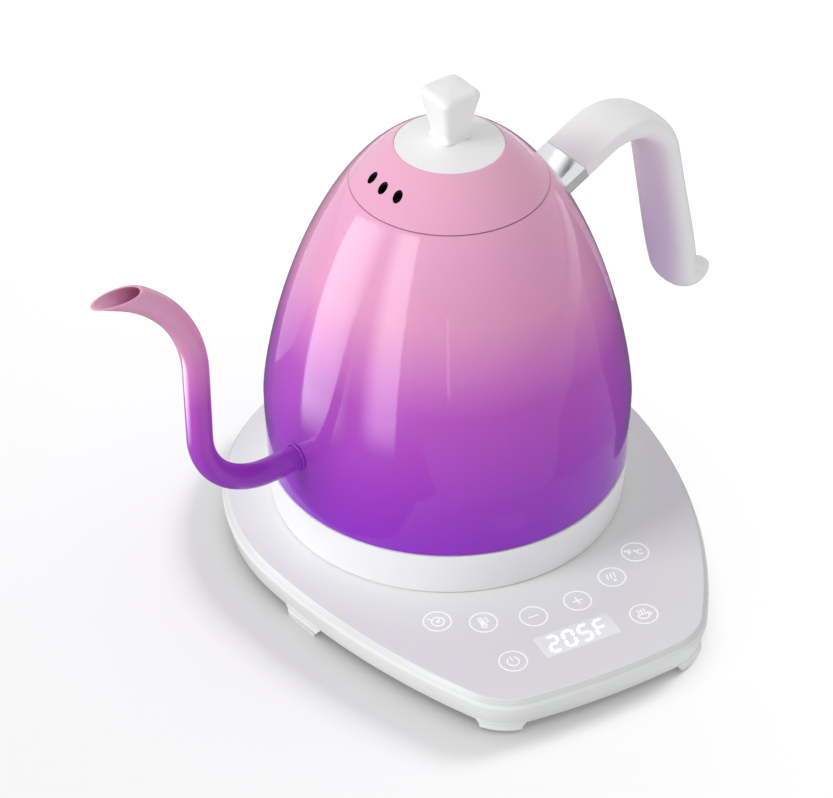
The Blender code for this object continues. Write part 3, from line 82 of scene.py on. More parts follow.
KNOB_Z, KNOB_HEIGHT = CAP_TOP_Z + GAP, 0.0206
KNOB_WAIST, KNOB_TOP, KNOB_CORNER, KNOB_EDGE = 0.0104, 0.0175, 0.0027, 0.0026
KNOB_CROWN, KNOB_SUNK, KNOB_FLARE, FLARE_SHARE = 0.0007, 0.001, 0.0016, 0.1

SPOUT_Z, SPOUT_R, SPOUT_WALL = 0.0456, 0.005, 0.0008
SPOUT_STANDOFF, SPOUT_LOWER, SPOUT_RISER, SPOUT_UPPER = 0.0431, 0.0307, 0.0309, 0.052
SPOUT_TURN, SPOUT_MOUTH_Z = radians(63.5), 0.15415
MOUTH_LIP, MOUTH_LIP_SHARE = 0.00018, 0.22
COLLAR_WIDTH, COLLAR_DEPTH, COLLAR_SOFT = 0.0003, 0.0009, 0.0002

ROOT_Z, BAR_WIDTH, GRIP_WIDTH = EGG_TOP - 0.0402, 0.0233, 0.025
RISE_ANGLE, RISE, BEND_R = radians(26.2), 0.0227, 0.0233
DROP_ANGLE, DROP = radians(12.6), 0.0647
LIP_R, LIP_TURN = 0.0126, radians(107.5)
END_LENGTH, END_SHARE, END_THIN = 0.0446, 0.985, 0.0026
BAR_DEEP = (0.0062, 0.0062, 0.0132, 0.016, 0.0055)
ROOT_SOFT, OVAL = 0.0009, 2.35
BRACKET, TONGUE = 0.0093, 0.01
TONGUE_WIDTH, TONGUE_DEEP, TONGUE_SOFT = 0.014, 0.0024, 0.0005

PLUG_R, PLUG_Z = 0.0165, 0.008
LIP_INNER = PLUG_R + 0.0008
SOCKET_R, SOCKET_BOTTOM, CEILING = LIP_INNER + 0.0067, 0.0019, PLUG_Z + 0.0008
COVER_Z, COVER_TOP, STUD_R = 0.002, 0.004, 0.0585
KEYS = ((0.056, 0.0439), (0.0474, 0.0284), (0.0417, 0.0097), (0.0235, 0.0286))
KEY_RING_R, KEY_LINE = 0.00535, 0.00052
DISPLAY_Y, DISPLAY_W, DISPLAY_D = 0.0248 - FRONT_REACH, 0.0325, 0.0119
SCREW_R, SCREW_HEAD, SCREW_HEAD_Z = 0.0013, 0.0026, 0.0015


def shifted(x, y, z):
    return Matrix.Translation((x, y, z))


low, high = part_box("connector_plug")
AXIS = ((low.x + high.x) / 2, (low.y + high.y) / 2)
BASE_AT = shifted(*AXIS, 0)
KETTLE_AT = shifted(*AXIS, BASE_Z) @ Matrix.Rotation(radians(9.8), 4, "Z")


def egg_r(z):
    if z >= BELLY_Z:
        share = min((z - BELLY_Z) / DOME, 1)
        return BELLY_R * (1 - share ** DOME_RISE) ** (1 / DOME_ROUND)
    share = (BELLY_Z - z) / (BELLY_Z - SKIRT_Z)
    return BELLY_R - (BELLY_R - SHELL_FOOT_R) * share ** 2


def egg_in(z, wall):
    slope = (egg_r(z + 0.0001) - egg_r(z - 0.0001)) / 0.0002
    return egg_r(z) - wall * sqrt(1 + slope ** 2)


def steps(first, last, count):
    return [first + (last - first) * i / (count - 1) for i in range(count)]


MOUTH_R = egg_r(SEAM_Z) - 0.0042


# Node materials.
def srgb(r, g, b):
    def one(v):
        v /= 255
        return v / 12.92 if v <= 0.04045 else ((v + 0.055) / 1.055) ** 2.4
    return (one(r), one(g), one(b), 1)


def darker(colour, share):
    return tuple(v * share for v in colour[:3]) + (1,)


def plug_in(tree, socket, value):
    """Set a socket to a value, or link another node's output to it."""
    if isinstance(value, bpy.types.NodeSocket):
        tree.links.new(value, socket)
    else:
        socket.default_value = value


def add_node(tree, kind, out=0, sockets=(), **settings):
    """Add a node and give one of its outputs; its sockets take values or other nodes' outputs."""
    made = tree.nodes.new("ShaderNode" + kind)
    for key, value in settings.items():
        setattr(made, key, value)
    for key, value in dict(sockets).items():
        plug_in(tree, made.inputs[key], value)
    return made.outputs[out]


def maths(tree, operation, first, second):
    return add_node(tree, "Math", 0, {0: first, 1: second}, operation=operation)


class Finish:
    """A node material with the part's own coordinates at hand."""

    def __init__(self, name, rough=0.4, metal=0, **sockets):
        self.mat = bpy.data.materials.new(name)
        self.mat.use_nodes = True
        self.tree = self.mat.node_tree
        self.shader = self.tree.nodes["Principled BSDF"]
        self.feed(Roughness=rough, Metallic=metal, **sockets)
        self.place = self.add("TexCoord", "Object")

    def feed(self, **sockets):
        """Give the shader's own sockets values or outputs."""
        for key, value in sockets.items():
            plug_in(self.tree, self.shader.inputs[key.replace("_", " ")], value)

    def add(self, kind, out=0, sockets=(), **settings):
        return add_node(self.tree, kind, out, sockets, **settings)

    def noise(self, scale, detail=3, stretch=None):
        place = self.place
        if stretch:
            place = self.add("Mapping", 0, {"Vector": place, "Scale": stretch})
        return self.add("TexNoise", "Fac", {"Vector": place, "Scale": scale, "Detail": detail})

    def ramp(self, source, stops):
        made = self.add("ValToRGB", "Color", {"Fac": source})
        bar = made.node.color_ramp
        while len(bar.elements) < len(stops):
            bar.elements.new(0.5)
        for element, (where, colour) in zip(bar.elements, stops):
            element.position, element.color = where, colour
        return made

    def remap(self, source, low, high, from_low=0, from_high=1):
        return self.add("MapRange", "Result", {
            "Value": source, "From Min": from_low, "From Max": from_high, "To Min": low, "To Max": high})

    def mix(self, share, first, second, blend="MIX"):
        """Mix two colours; share, first and second may be outputs or values."""
        made = self.add("Mix", data_type="RGBA", blend_type=blend).node
        for socket, value in zip([s for s in made.inputs if s.enabled], (share, first, second)):
            plug_in(self.tree, socket, value)
        return [s for s in made.outputs if s.enabled][0]

    def bump(self, source, strength, depth, coat=False):
        normal = self.add("Bump", "Normal", {"Strength": strength, "Distance": depth, "Height": source})
        self.feed(Normal=normal)
        if coat:
            self.feed(Coat_Normal=normal)


def paint(name, lift=0):
    """Glossy lacquer, pink at the top and violet at the foot; lift moves the fade up."""
    f = Finish(name, rough=0.34, Coat_Weight=1, Coat_Roughness=0.03, Coat_IOR=1.3, Specular_IOR_Level=0.06)
    up = f.add("SeparateXYZ", "Z", {"Vector": f.place})
    height = maths(f.tree, "ADD", up, f.remap(f.noise(9, 2), -0.0025, 0.0025))
    foot, head = BASE_Z + SKIRT_Z + lift, BASE_Z + EGG_TOP + lift
    fade = f.ramp(f.remap(height, 0, 1, foot, head), [
        (0, srgb(143, 45, 198)), (0.22, srgb(162, 63, 195)), (0.42, srgb(181, 81, 193)),
        (0.52, srgb(204, 116, 197)), (0.64, srgb(222, 150, 194)), (1, srgb(238, 178, 204)),
    ])
    flake = f.remap(f.noise(5200, 1), 0.96, 1.04)
    f.feed(Base_Color=f.mix(1, fade, flake, "MULTIPLY"), Roughness=f.remap(f.noise(140, 3), 0.28, 0.4))
    f.bump(f.noise(520, 2), 0.05, 0.0004, coat=True)
    return f.mat


def moulded(name, colour, rough, spread=0.03, grain=1500, strength=0.1, **sockets):
    """Injection-moulded plastic: faint mottling and a fine even grain."""
    f = Finish(name, rough=rough, **sockets)
    f.feed(Base_Color=f.ramp(f.noise(38, 4), [(0.35, darker(colour, 1 - spread)), (0.65, colour)]),
           Roughness=f.remap(f.noise(260, 3), rough * 0.88, rough * 1.12))
    f.bump(f.noise(grain, 2), strength, 0.00012)
    return f.mat


def metal(name, colour, rough, stretch=(30, 30, 1400), strength=0.06, spread=0.06):
    """Metal with fine drawn lines along its grain."""
    f = Finish(name, rough=rough, metal=1)
    lines = f.noise(1, 4, stretch)
    f.feed(Base_Color=f.ramp(lines, [(0.3, darker(colour, 1 - spread)), (0.7, colour)]),
           Roughness=f.remap(lines, rough * 0.75, rough * 1.35))
    f.bump(lines, strength, 0.00005)
    return f.mat


def circuit(name):
    """Green board with paler tracks and tinned lands."""
    f = Finish(name, rough=0.4, Coat_Weight=0.4, Coat_Roughness=0.2)
    tracks = f.add("TexBrick", "Fac", {
        "Vector": f.place, "Scale": 130, "Mortar Size": 0.035, "Brick Width": 0.9, "Row Height": 0.34,
    }, offset=0.37, squash=1.6)
    lands = f.add("TexVoronoi", "Distance", {"Vector": f.place, "Scale": 260})
    green = f.ramp(tracks, [(0.2, srgb(22, 84, 48)), (0.8, srgb(64, 140, 84))])
    f.feed(Base_Color=f.mix(f.remap(lands, 1, 0, 0.1, 0.16), green, srgb(196, 186, 160)))
    f.bump(tracks, 0.3, 0.0001)
    return f.mat


def wound(name):
    """Varnished windings between dark core ends."""
    f = Finish(name, rough=0.45)
    wave = f.add("TexWave", "Fac", {"Vector": f.place, "Scale": 900, "Distortion": 0.6}, bands_direction="Y")
    f.feed(Base_Color=f.ramp(wave, [(0.2, srgb(40, 34, 30)), (0.8, srgb(92, 70, 48))]))
    f.bump(wave, 0.4, 0.0001)
    return f.mat


def lit(name, colour, glow):
    """White print lit from below, slightly uneven as a diffuser is."""
    f = Finish(name, rough=0.35, Emission_Strength=glow)
    tone = f.ramp(f.noise(420, 2), [(0.3, darker(colour, 0.96)), (0.7, colour)])
    f.feed(Base_Color=tone, Emission_Color=tone)
    return f.mat


FULL_WHITE = (1, 1, 1, 1)
BODY_PAINT, SPOUT_PAINT = paint("body_paint"), paint("spout_paint", 0.012)
# Dark plum: painted shade inside the vent holes and in the seam gap; the lid's plug and underside take it
# too, as a dark plastic.
PAINTED_VENT_SHADE = moulded("vent_painted_shade", srgb(38, 20, 40), 0.8, 0.2, 900, 0.2, Specular_IOR_Level=0.05)
WHITE = moulded("white_satin", srgb(243, 243, 244), 0.34, 0.012, Specular_IOR_Level=0.32)
PANEL = moulded("panel_grey", srgb(233, 234, 234), 0.3, 0.01, 2100, 0.06, Specular_IOR_Level=0.2)
# The panel's plastic made darker for the bevelled edge: painted shade where the edge turns from the light.
RIM_PAINTED_SHADE = moulded("panel_rim_painted_shade", srgb(219, 221, 220), 0.3, 0.01, 2100, 0.06, Specular_IOR_Level=0.2)
SCREEN = moulded("display_film", srgb(241, 243, 243), 0.22, 0.008, 3000, 0.03,
                 Emission_Strength=0.05, Emission_Color=FULL_WHITE)
BLACK = moulded("black_plastic", srgb(34, 32, 34), 0.45, 0.12, 1100, 0.2)
RUBBER = moulded("black_rubber", srgb(40, 40, 42), 0.75, 0.2, 1700, 0.5)
PALE_RUBBER = moulded("pale_rubber", srgb(226, 226, 228), 0.7, 0.06, 1700, 0.4)
SILICONE = moulded("grey_silicone", srgb(176, 178, 182), 0.55, 0.06, 900, 0.15)
FILM = moulded("component_film", srgb(44, 88, 168), 0.38, 0.14, 700, 0.2)
STEEL = metal("steel", srgb(206, 208, 210), 0.26)
BRIGHT = metal("bright_steel", srgb(226, 227, 229), 0.09, (260, 260, 260), 0.02, 0.03)
FASTENER = metal("fastener_steel", srgb(176, 177, 180), 0.3, (900, 900, 60), 0.08)
ALUMINIUM = metal("aluminium", srgb(210, 211, 214), 0.42, (700, 40, 40), 0.1)
BRASS = metal("contact_brass", srgb(206, 170, 98), 0.25, (500, 500, 60), 0.05)
BOARD = circuit("circuit_board")
COIL = wound("transformer_coil")
PRINT = lit("key_print", srgb(250, 250, 252), 0.22)
DIGITS = lit("display_digits", srgb(252, 252, 255), 0.55)


# Mesh helpers.
def ease(points, closed=True, fine=5):
    """Round the corners of a profile; a point may carry a corner radius as its third value."""
    made = []
    count = len(points)
    for i, point in enumerate(points):
        here = Vector(point[:2])
        radius = point[2] if len(point) > 2 else 0
        if radius <= 0 or (not closed and i in (0, count - 1)):
            made.append((here.x, here.y))
            continue
        back = Vector(points[i - 1][:2]) - here
        ahead = Vector(points[(i + 1) % count][:2]) - here
        half = back.angle(ahead) / 2
        run = min(radius / tan(half), back.length * 0.49, ahead.length * 0.49)
        radius = run * tan(half)
        back.normalize()
        ahead.normalize()
        centre = here + (back + ahead).normalized() * (radius / sin(half))
        first = here + back * run - centre
        last = here + ahead * run - centre
        a = atan2(first.y, first.x)
        turn = atan2(first.x * last.y - first.y * last.x, first.dot(last))
        made += [(centre.x + radius * cos(a + turn * k / fine),
                  centre.y + radius * sin(a + turn * k / fine)) for k in range(fine + 1)]
    return made


def turns(count):
    return [tau * i / count for i in range(count)]


def circle(r, count=48, x=0, y=0):
    return [(x + r * cos(a), y + r * sin(a)) for a in turns(count)]


def level(points, z):
    return [(x, y, z) for x, y in points]


def moved(at, points):
    return [at @ Vector(p) for p in points]


def drill(r, count, x, y, *heights):
    """Rings of an upright hole."""
    return [level(circle(r, count, x, y), z) for z in heights]


def soft_rectangle(width, depth, radius, per_corner=7, per_side=5):
    """Rounded rectangle with points along its sides too, counter-clockwise from +X."""
    arcs = []
    for quarter, (sx, sy) in enumerate(((1, 1), (-1, 1), (-1, -1), (1, -1))):
        cx, cy = sx * (width / 2 - radius), sy * (depth / 2 - radius)
        bearings = [QUARTER * (quarter + i / (per_corner - 1)) for i in range(per_corner)]
        arcs.append([(cx + radius * cos(a), cy + radius * sin(a)) for a in bearings])
    points = []
    for arc, after in zip(arcs, arcs[1:] + arcs[:1]):
        (x, y), (ex, ey) = arc[-1], after[0]
        points += arc + [(x + (ex - x) * k / per_side, y + (ey - y) * k / per_side)
                         for k in range(1, per_side)]
    return points


def skin(shape, rings, looped=False, marks=None):
    """Skin rings of points; a ring of one point is a pole. marks gives a material index per gap."""
    rows = [[shape.verts.new(p) for p in ring] for ring in rings]
    pairs = list(zip(rows, rows[1:]))
    if looped:
        pairs.append((rows[-1], rows[0]))
    for index, (a, b) in enumerate(pairs):
        count = max(len(a), len(b))
        for i in range(count):
            j = (i + 1) % count
            corners = ([a[i], a[j]] if len(a) > 1 else [a[0]]) + ([b[j], b[i]] if len(b) > 1 else [b[0]])
            face = shape.faces.new(corners)
            if marks:
                face.material_index = marks[index]
    if not looped:
        for row in (rows[0], rows[-1]):
            if len(row) > 2:
                shape.faces.new(row)


def stacked(stacks, looped=False, marks=None):
    shape = bmesh.new()
    for rings in stacks:
        skin(shape, rings, looped, marks)
    return shape


def shaded(data, sharp):
    data.shade_smooth()
    data.set_sharp_from_angle(angle=radians(sharp))
    return data


def flat_mesh(name, shape, at, sharp):
    bmesh.ops.transform(shape, matrix=at, verts=shape.verts)
    bmesh.ops.recalc_face_normals(shape, faces=shape.faces)
    data = bpy.data.meshes.new(name)
    shape.to_mesh(data)
    shape.free()
    return shaded(data, sharp)


def added(name, data):
    obj = bpy.data.objects.new(name, data)
    SCENE.collection.objects.link(obj)
    return obj


def piece(name, shape, finish, body, slot, *nodes, at=None, sharp=40, cuts=(), inside=0):
    """A finished piece: it rides its body and stands for its solids; its slot argument is not used.

    Each cut is a list of stacks of rings; the cut faces take the material numbered inside.
    """
    at = at or (BASE_AT if body == "base" else KETTLE_AT)
    obj = added(name, flat_mesh(name, shape, at, sharp))
    for one in finish if isinstance(finish, tuple) else (finish,):
        obj.data.materials.append(one)
    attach(obj, body)
    if nodes:
        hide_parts(*nodes)
    for stacks in cuts:
        carve(obj, stacks, at, inside, sharp)


def skinned(name, stacks, *what, looped=False, marks=None, **more):
    """A piece made of one or more skinned stacks of rings."""
    piece(name, stacked(stacks, looped, marks), *what, **more)


def turned(name, profile, *what, closed=True, count=FINE, **more):
    """A piece turned about Z from a profile of radius, height and rounding; a radius of nought is a pole."""
    rings = [[(0, 0, z)] if r < 1e-7 else level(circle(r, count), z) for r, z in ease(profile, closed)]
    skinned(name, [rings], *what, looped=closed, **more)


def carve(obj, stacks, at, inside, sharp):
    shape = stacked(stacks)
    for face in shape.faces:
        face.material_index = inside
    cutter = added("cutter", flat_mesh("cutter", shape, at, sharp))
    for one in obj.data.materials:
        cutter.data.materials.append(one)
    tool = obj.modifiers.new("cut", "BOOLEAN")
    tool.operation, tool.object, tool.solver = "DIFFERENCE", cutter, "EXACT"
    bpy.context.view_layer.update()
    fresh = bpy.data.meshes.new_from_object(obj.evaluated_get(bpy.context.evaluated_depsgraph_get()))
    obj.modifiers.clear()
    worn, obj.data = obj.data, shaded(fresh, sharp)
    bpy.data.objects.remove(cutter, do_unlink=True)
    bpy.data.meshes.remove(worn)


def path(start, heading, runs):
    """Legs of a path of runs and arcs, each of a size and a turn, and the path's length."""
    legs = []
    point, along = Vector(start), 0
    for size, turn in runs:
        length = size if turn == 0 else size * abs(turn)
        legs.append((along, length, point.copy(), heading, size, turn))
        point = leg_point(legs[-1], length)[0]
        heading += turn
        along += length
    return legs, along


def across(heading):
    return Vector((-sin(heading), cos(heading)))


def leg_point(leg, distance):
    _, length, start, heading, size, turn = leg
    if turn == 0:
        return start + Vector((cos(heading), sin(heading))) * distance, heading
    side = copysign(1, turn)
    centre = start + across(heading) * size * side
    now = heading + turn * distance / length
    return centre + Vector((sin(now), -cos(now))) * size * side, now


def on_path(legs, s):
    """Point, heading, leg number and share of the leg at a distance along a path."""
    index = max(i for i, leg in enumerate(legs) if s >= leg[0] or i == 0)
    leg = legs[index]
    point, heading = leg_point(leg, s - leg[0])
    return point, heading, index, (s - leg[0]) / leg[1]


def narrowed(near, far, beyond):
    """Close in on the distance between near and far from which beyond holds."""
    for _ in range(40):
        middle = (near + far) / 2
        near, far = (near, middle) if beyond(middle) else (middle, far)
    return near, far


# Kettle body.
SOFT = 0.0003
top, foot, tuck_in = SEAM_Z - SEAM_WIDTH / 2, SKIRT_Z + GAP, TUCK_R - SHELL_WALL
outer = [(egg_r(z), z) for z in steps(top, foot, 150)]
outer[0] += (SOFT,)
outer[-1] += (SOFT,)
tuck = [(TUCK_R, foot), (TUCK_R, TUCK_Z), (tuck_in, TUCK_Z), (tuck_in, foot + SHELL_WALL)]
inner = [(egg_in(z, SHELL_WALL), z) for z in steps(foot + SHELL_WALL, top, 60)]
profile = ease(outer + tuck + inner)
painted = len(ease(outer, closed=False)) + 4
marks = [0] * painted + [1] * (len(profile) - painted - 1) + [0]
reach, root = SPOUT_STANDOFF / 2, egg_r(SPOUT_Z)
bore_at = shifted(0, 0, SPOUT_Z) @ Matrix.Rotation(-QUARTER, 4, "Y")
bore = [moved(bore_at, ring) for ring in drill(SPOUT_R + GAP, 48, 0, 0, root - reach, root + reach)]
turned("shell_skin", profile, (BODY_PAINT, STEEL), "kettle", "body_paint", "kettle_shell",
       marks=marks, cuts=[[bore]])

lean = (SKIRT_TOP_R - SKIRT_BOTTOM_R) / SKIRT_Z
turned("skirt_skin", [
    (SKIRT_INNER_R, SKIRT_Z), (SKIRT_TOP_R, SKIRT_Z, SOFT), (SKIRT_TOP_R - lean * SKIRT_Z / 2, SKIRT_Z / 2),
    (SKIRT_BOTTOM_R, GAP, SOFT), (SKIRT_INNER_R, GAP)], WHITE, "kettle", "white_satin", "skirt_ring")

# Lid.
rim, seat = SEAM_Z + SEAM_WIDTH / 2, LEDGE_Z + GAP
cap_edge, thread = egg_r(CAP_Z), SCREW_R + GAP
plug = egg_in(SEAM_Z - SEAM_WIDTH / 2, SHELL_WALL) - GAP
outer = [(egg_r(z), z) for z in steps(CAP_Z, rim, 60)]
outer[-1] += (SOFT,)
inner = [(min(egg_in(z, LID_WALL), plug - LID_WALL), z)
         for z in steps(rim + LID_WALL, CAP_SEAT - LID_WALL, 20)]
lid_profile = [(thread, CAP_SEAT), (cap_edge - GAP, CAP_SEAT), (cap_edge - GAP, CAP_Z, 0.0001)] + outer
paint_end = len(lid_profile) + 7
lid_profile += [(plug, rim), (plug, seat), (plug - LID_WALL, seat)] + inner + [(thread, CAP_SEAT - LID_WALL)]


def vents(r, spacing, count, *heights):
    """Three holes side by side towards the spout."""
    bearings = [pi + turn * spacing for turn in (-1, 0, 1)]
    return [drill(VENT_R, count, r * cos(a), r * sin(a), *heights) for a in bearings]


# The vent holes' walls take the dark plum of painted shade; the lid's plug and underside take it as their
# dark plastic.
turned("lid_skin", lid_profile, (BODY_PAINT, PAINTED_VENT_SHADE), "lid", "lid_paint", "lid_shell", inside=1,
       marks=[0] * paint_end + [1] * 200,
       cuts=[vents(egg_r(VENT_Z), VENT_SPACING, 40, VENT_Z - 0.006, VENT_Z + 0.006)])
edge = cap_edge - 1.25 * GAP
slope = [(CAP_CREST + (edge - CAP_CREST) * u, CAP_TOP_Z - CAP_RISE * u ** CAP_CURVE)
         for u in [(k / 48) ** 1.6 for k in range(1, 49)]]
slope[-1] = (edge, slope[-1][1], 0.00025)
turned("cap_skin", [(thread, CAP_TOP_Z), (CAP_CREST, CAP_TOP_Z, 0.0006)] + slope
       + [(edge, CAP_SEAT + GAP), (thread, CAP_SEAT + GAP)], WHITE, "lid", "white_satin", "lid_cap")


def knob():
    """Square post that widens upwards to a pillow-soft top; its foot runs out into the cap."""
    rings = []
    shoulder = KNOB_HEIGHT - KNOB_CROWN - KNOB_EDGE
    flat = KNOB_TOP - 2 * KNOB_EDGE
    for h in [-KNOB_SUNK] + steps(0, shoulder, 40):
        climb = max(h, 0) / shoulder
        side = KNOB_WAIST + (KNOB_TOP - KNOB_WAIST) * climb
        side += KNOB_FLARE * max(1 - climb / FLARE_SHARE, 0) ** 2
        rings.append((h, side, KNOB_CORNER * (0.75 + 0.25 * climb)))
    for a in [QUARTER * k / 10 for k in range(1, 11)]:
        side = KNOB_TOP - 2 * KNOB_EDGE * (1 - cos(a))
        rings.append((shoulder + KNOB_EDGE * sin(a), side, KNOB_CORNER))
    for share in (0.85, 0.65, 0.4, 0.15):
        rings.append((KNOB_HEIGHT - KNOB_CROWN * share ** 2, flat * share, KNOB_CORNER * share))
    rings = [level(soft_rectangle(side, side, corner, 9), KNOB_Z + h) for h, side, corner in rings]
    skinned("knob_skin", [rings], WHITE, "lid", "white_satin", "lid_knob")


knob()

# Inside of the mouth and lid.
wall, neck_low = 0.0008, LEDGE_Z - 0.012
mouth_rim = egg_in(LEDGE_Z, SHELL_WALL) - GAP
turned("mouth_skin", [
    (mouth_rim, LEDGE_Z), (mouth_rim, LEDGE_Z - wall), (MOUTH_R + wall, LEDGE_Z - wall, 0.0004),
    (MOUTH_R + wall, neck_low), (MOUTH_R, neck_low), (MOUTH_R, LEDGE_Z, 0.0007)],
    STEEL, "kettle", "steel", "mouth_collar")
hub, skirt = 0.0052, MOUTH_R - 2 * GAP - 0.0012
liner_low, liner_top = LEDGE_Z - 0.0064, CAP_SEAT - LID_WALL - GAP
flange_low, flange = LEDGE_Z + GAP, MOUTH_R + 0.001
liner_floor, flange_top, skirt_in = liner_low + 0.001, flange_low + 0.001, skirt - 0.001
turned("liner_skin", [
    (thread, liner_top), (hub, liner_top, 0.0004), (hub, liner_floor, 0.0006),
    (skirt_in, liner_floor, 0.0006), (skirt_in, flange_top), (flange, flange_top, 0.0003),
    (flange, flange_low), (skirt, flange_low), (skirt, liner_low, 0.0009), (thread, liner_low)],
    STEEL, "lid", "steel", "lid_liner",
    cuts=[vents((hub + skirt) / 2, VENT_SPACING * 1.5, 32, liner_low - 0.001, liner_low + 0.002)])
seal_in, seal_top = skirt + GAP, flange_low - 2 * GAP
seal_mid, seal_low = seal_in + 0.00084, seal_top - 0.004
turned("gasket_skin", [
    (seal_mid, seal_top, 0.0003), (seal_in + 0.0012, seal_top - 0.00036, 0.0003),
    (seal_mid, seal_low, 0.0003), (seal_in, seal_low), (seal_in, seal_top)],
    SILICONE, "lid", "silicone", "lid_gasket")


# Spout.
def spout():
    """Thin bent tube with its mouth cut level and a thin rolled lip between its two walls."""
    legs, total = path((egg_r(SPOUT_Z) - SHELL_WALL, SPOUT_Z), 0, (
        (SPOUT_STANDOFF + SHELL_WALL - SPOUT_LOWER, 0), (SPOUT_LOWER, QUARTER), (SPOUT_RISER, 0),
        (SPOUT_UPPER, -SPOUT_TURN), (SPOUT_R * 6, 0)))
    around = turns(64)

    def point(s, a, r):
        place, heading, _, _ = on_path(legs, s)
        spot = place + across(heading) * (r * sin(a))
        return Vector((-spot.x, r * cos(a), spot.y))

    def wall_rings(r):
        ends = [narrowed(total * 0.4, total, lambda s: point(s, a, r).z >= SPOUT_MOUTH_Z)[0] for a in around]
        safe = min(ends) - 0.002
        rings = [[point(s, a, r) for a in around] for s in steps(0, safe, 120)]
        for k in range(1, 9):
            rings.append([point(safe + (e - safe) * k / 8, a, r) for e, a in zip(ends, around)])
        return rings

    outside, inside = wall_rings(SPOUT_R), wall_rings(SPOUT_R - SPOUT_WALL)
    for rings, others in ((outside, inside), (inside, outside)):
        last = rings[-1]
        rings[-1] = [p - Vector((0, 0, MOUTH_LIP)) for p in last]
        rings.append([p + (q - p) * MOUTH_LIP_SHARE for p, q in zip(last, others[-1])])
    shape = bmesh.new()
    skin(shape, outside + inside[::-1], looped=True)
    bmesh.ops.remove_doubles(shape, verts=shape.verts, dist=0.000002)
    piece("spout_skin", shape, SPOUT_PAINT, "kettle", "body_paint", "spout_tube")


spout()


def collar():
    """Thin ring round the spout's root, fitted to the body's curve."""
    inner, outer = SPOUT_R + GAP, SPOUT_R + GAP + COLLAR_WIDTH
    face = -(egg_r(SPOUT_Z) + COLLAR_DEPTH)

    def ring(r, x=None):
        spots = [(r * cos(a), SPOUT_Z + r * sin(a)) for a in turns(96)]
        return [(-sqrt((egg_r(z) + GAP) ** 2 - y * y) if x is None else x, y, z) for y, z in spots]

    arc = [(outer - COLLAR_SOFT * (1 - cos(t)), face + COLLAR_SOFT * (1 - sin(t)))
           for t in steps(0, QUARTER, 5)]
    rings = [ring(inner), ring(outer)] + [ring(r, x) for r, x in arc] + [ring(inner, face)]
    skinned("collar_skin", [rings], BODY_PAINT, "kettle", "body_paint", "spout_collar", looped=True)


collar()

# Handle.
LEGS, LENGTH = path((egg_r(ROOT_Z), ROOT_Z), RISE_ANGLE, (
    (RISE, 0), (BEND_R, -(QUARTER + RISE_ANGLE - DROP_ANGLE)), (DROP, 0), (LIP_R, LIP_TURN)))


def bar_frame(distance, y):
    spot = leg_point(LEGS[0], distance)[0]
    return shifted(spot.x, y, spot.y) @ Matrix.Rotation(-RISE_ANGLE, 4, "Y")


HANDLE_SCREWS = [bar_frame(BRACKET + TONGUE * 0.55, side * TONGUE_WIDTH / 4) for side in (-1, 1)]


def bar_ring(s, width, deep, soft, oval=0):
    """Section of the handle's bar; oval turns the rounded rectangle into a softer, rounder grip."""
    place, heading, _, _ = on_path(LEGS, s)
    normal = across(heading)
    ring = []
    for wide, through in soft_rectangle(width, deep, soft, 8, 6):
        reach = (abs(2 * wide / width) ** OVAL + abs(2 * through / deep) ** OVAL) ** (1 / OVAL)
        size = 1 + (1 / reach - 1) * oval
        spot = place + normal * through * size
        ring.append(Vector((spot.x, wide * size, spot.y)))
    return ring


def bar_section(s):
    _, _, run, share = on_path(LEGS, s)
    eased = share * share * (3 - 2 * share)
    deep = BAR_DEEP[run] + (BAR_DEEP[run + 1] - BAR_DEEP[run]) * eased
    oval = (0, eased, 1, 1)[run]
    width, left = BAR_WIDTH + (GRIP_WIDTH - BAR_WIDTH) * oval, LENGTH - s
    if left < END_LENGTH:
        width *= sqrt(1 - (END_SHARE * (1 - left / END_LENGTH)) ** 2)
    if left < END_THIN:
        deep *= 0.3 + 0.7 * sqrt(max(1 - (1 - left / END_THIN) ** 2, 0))
    soft = ROOT_SOFT + (deep * 0.4 - ROOT_SOFT) * oval
    return width, deep, min(soft, deep * 0.48, width * 0.48), oval


def grip():
    """White grip over the bracket's tongue, with a pocket for it and two screw holes."""
    begin, end_run = BRACKET + 0.00008, 0.01
    places = [begin + 0.0001, begin + 0.0006] + steps(begin + 0.0012, LENGTH - end_run, 96)
    places += [LENGTH - end_run * (1 - k / 28) ** 1.7 for k in range(1, 29)]
    width, deep, soft, _ = bar_section(begin)
    rings = [bar_ring(begin, width - 0.0002, deep - 0.0002, soft)]
    rings += [bar_ring(s, *bar_section(s)) for s in places]
    size = (TONGUE_WIDTH + 2 * GAP, TONGUE_DEEP + 2 * GAP, TONGUE_SOFT)
    pocket = [bar_ring(s, *size) for s in (BRACKET - GAP, BRACKET + TONGUE + GAP)]
    shoulder = -BAR_DEEP[0] / 2 + SCREW_HEAD_Z + GAP
    head, shank, tip = SCREW_HEAD + GAP, SCREW_R + GAP, TONGUE_DEEP / 2 + 3 * GAP
    sink = [level(circle(r, 32), z) for r, z in (
        (head, -0.0062), (head, shoulder), (shank, shoulder), (shank, tip))]
    sinks = [[moved(at, ring) for ring in sink] for at in HANDLE_SCREWS]
    skinned("grip_skin", [rings], WHITE, "kettle", "white_satin", "handle_grip", cuts=[[pocket], sinks])


grip()


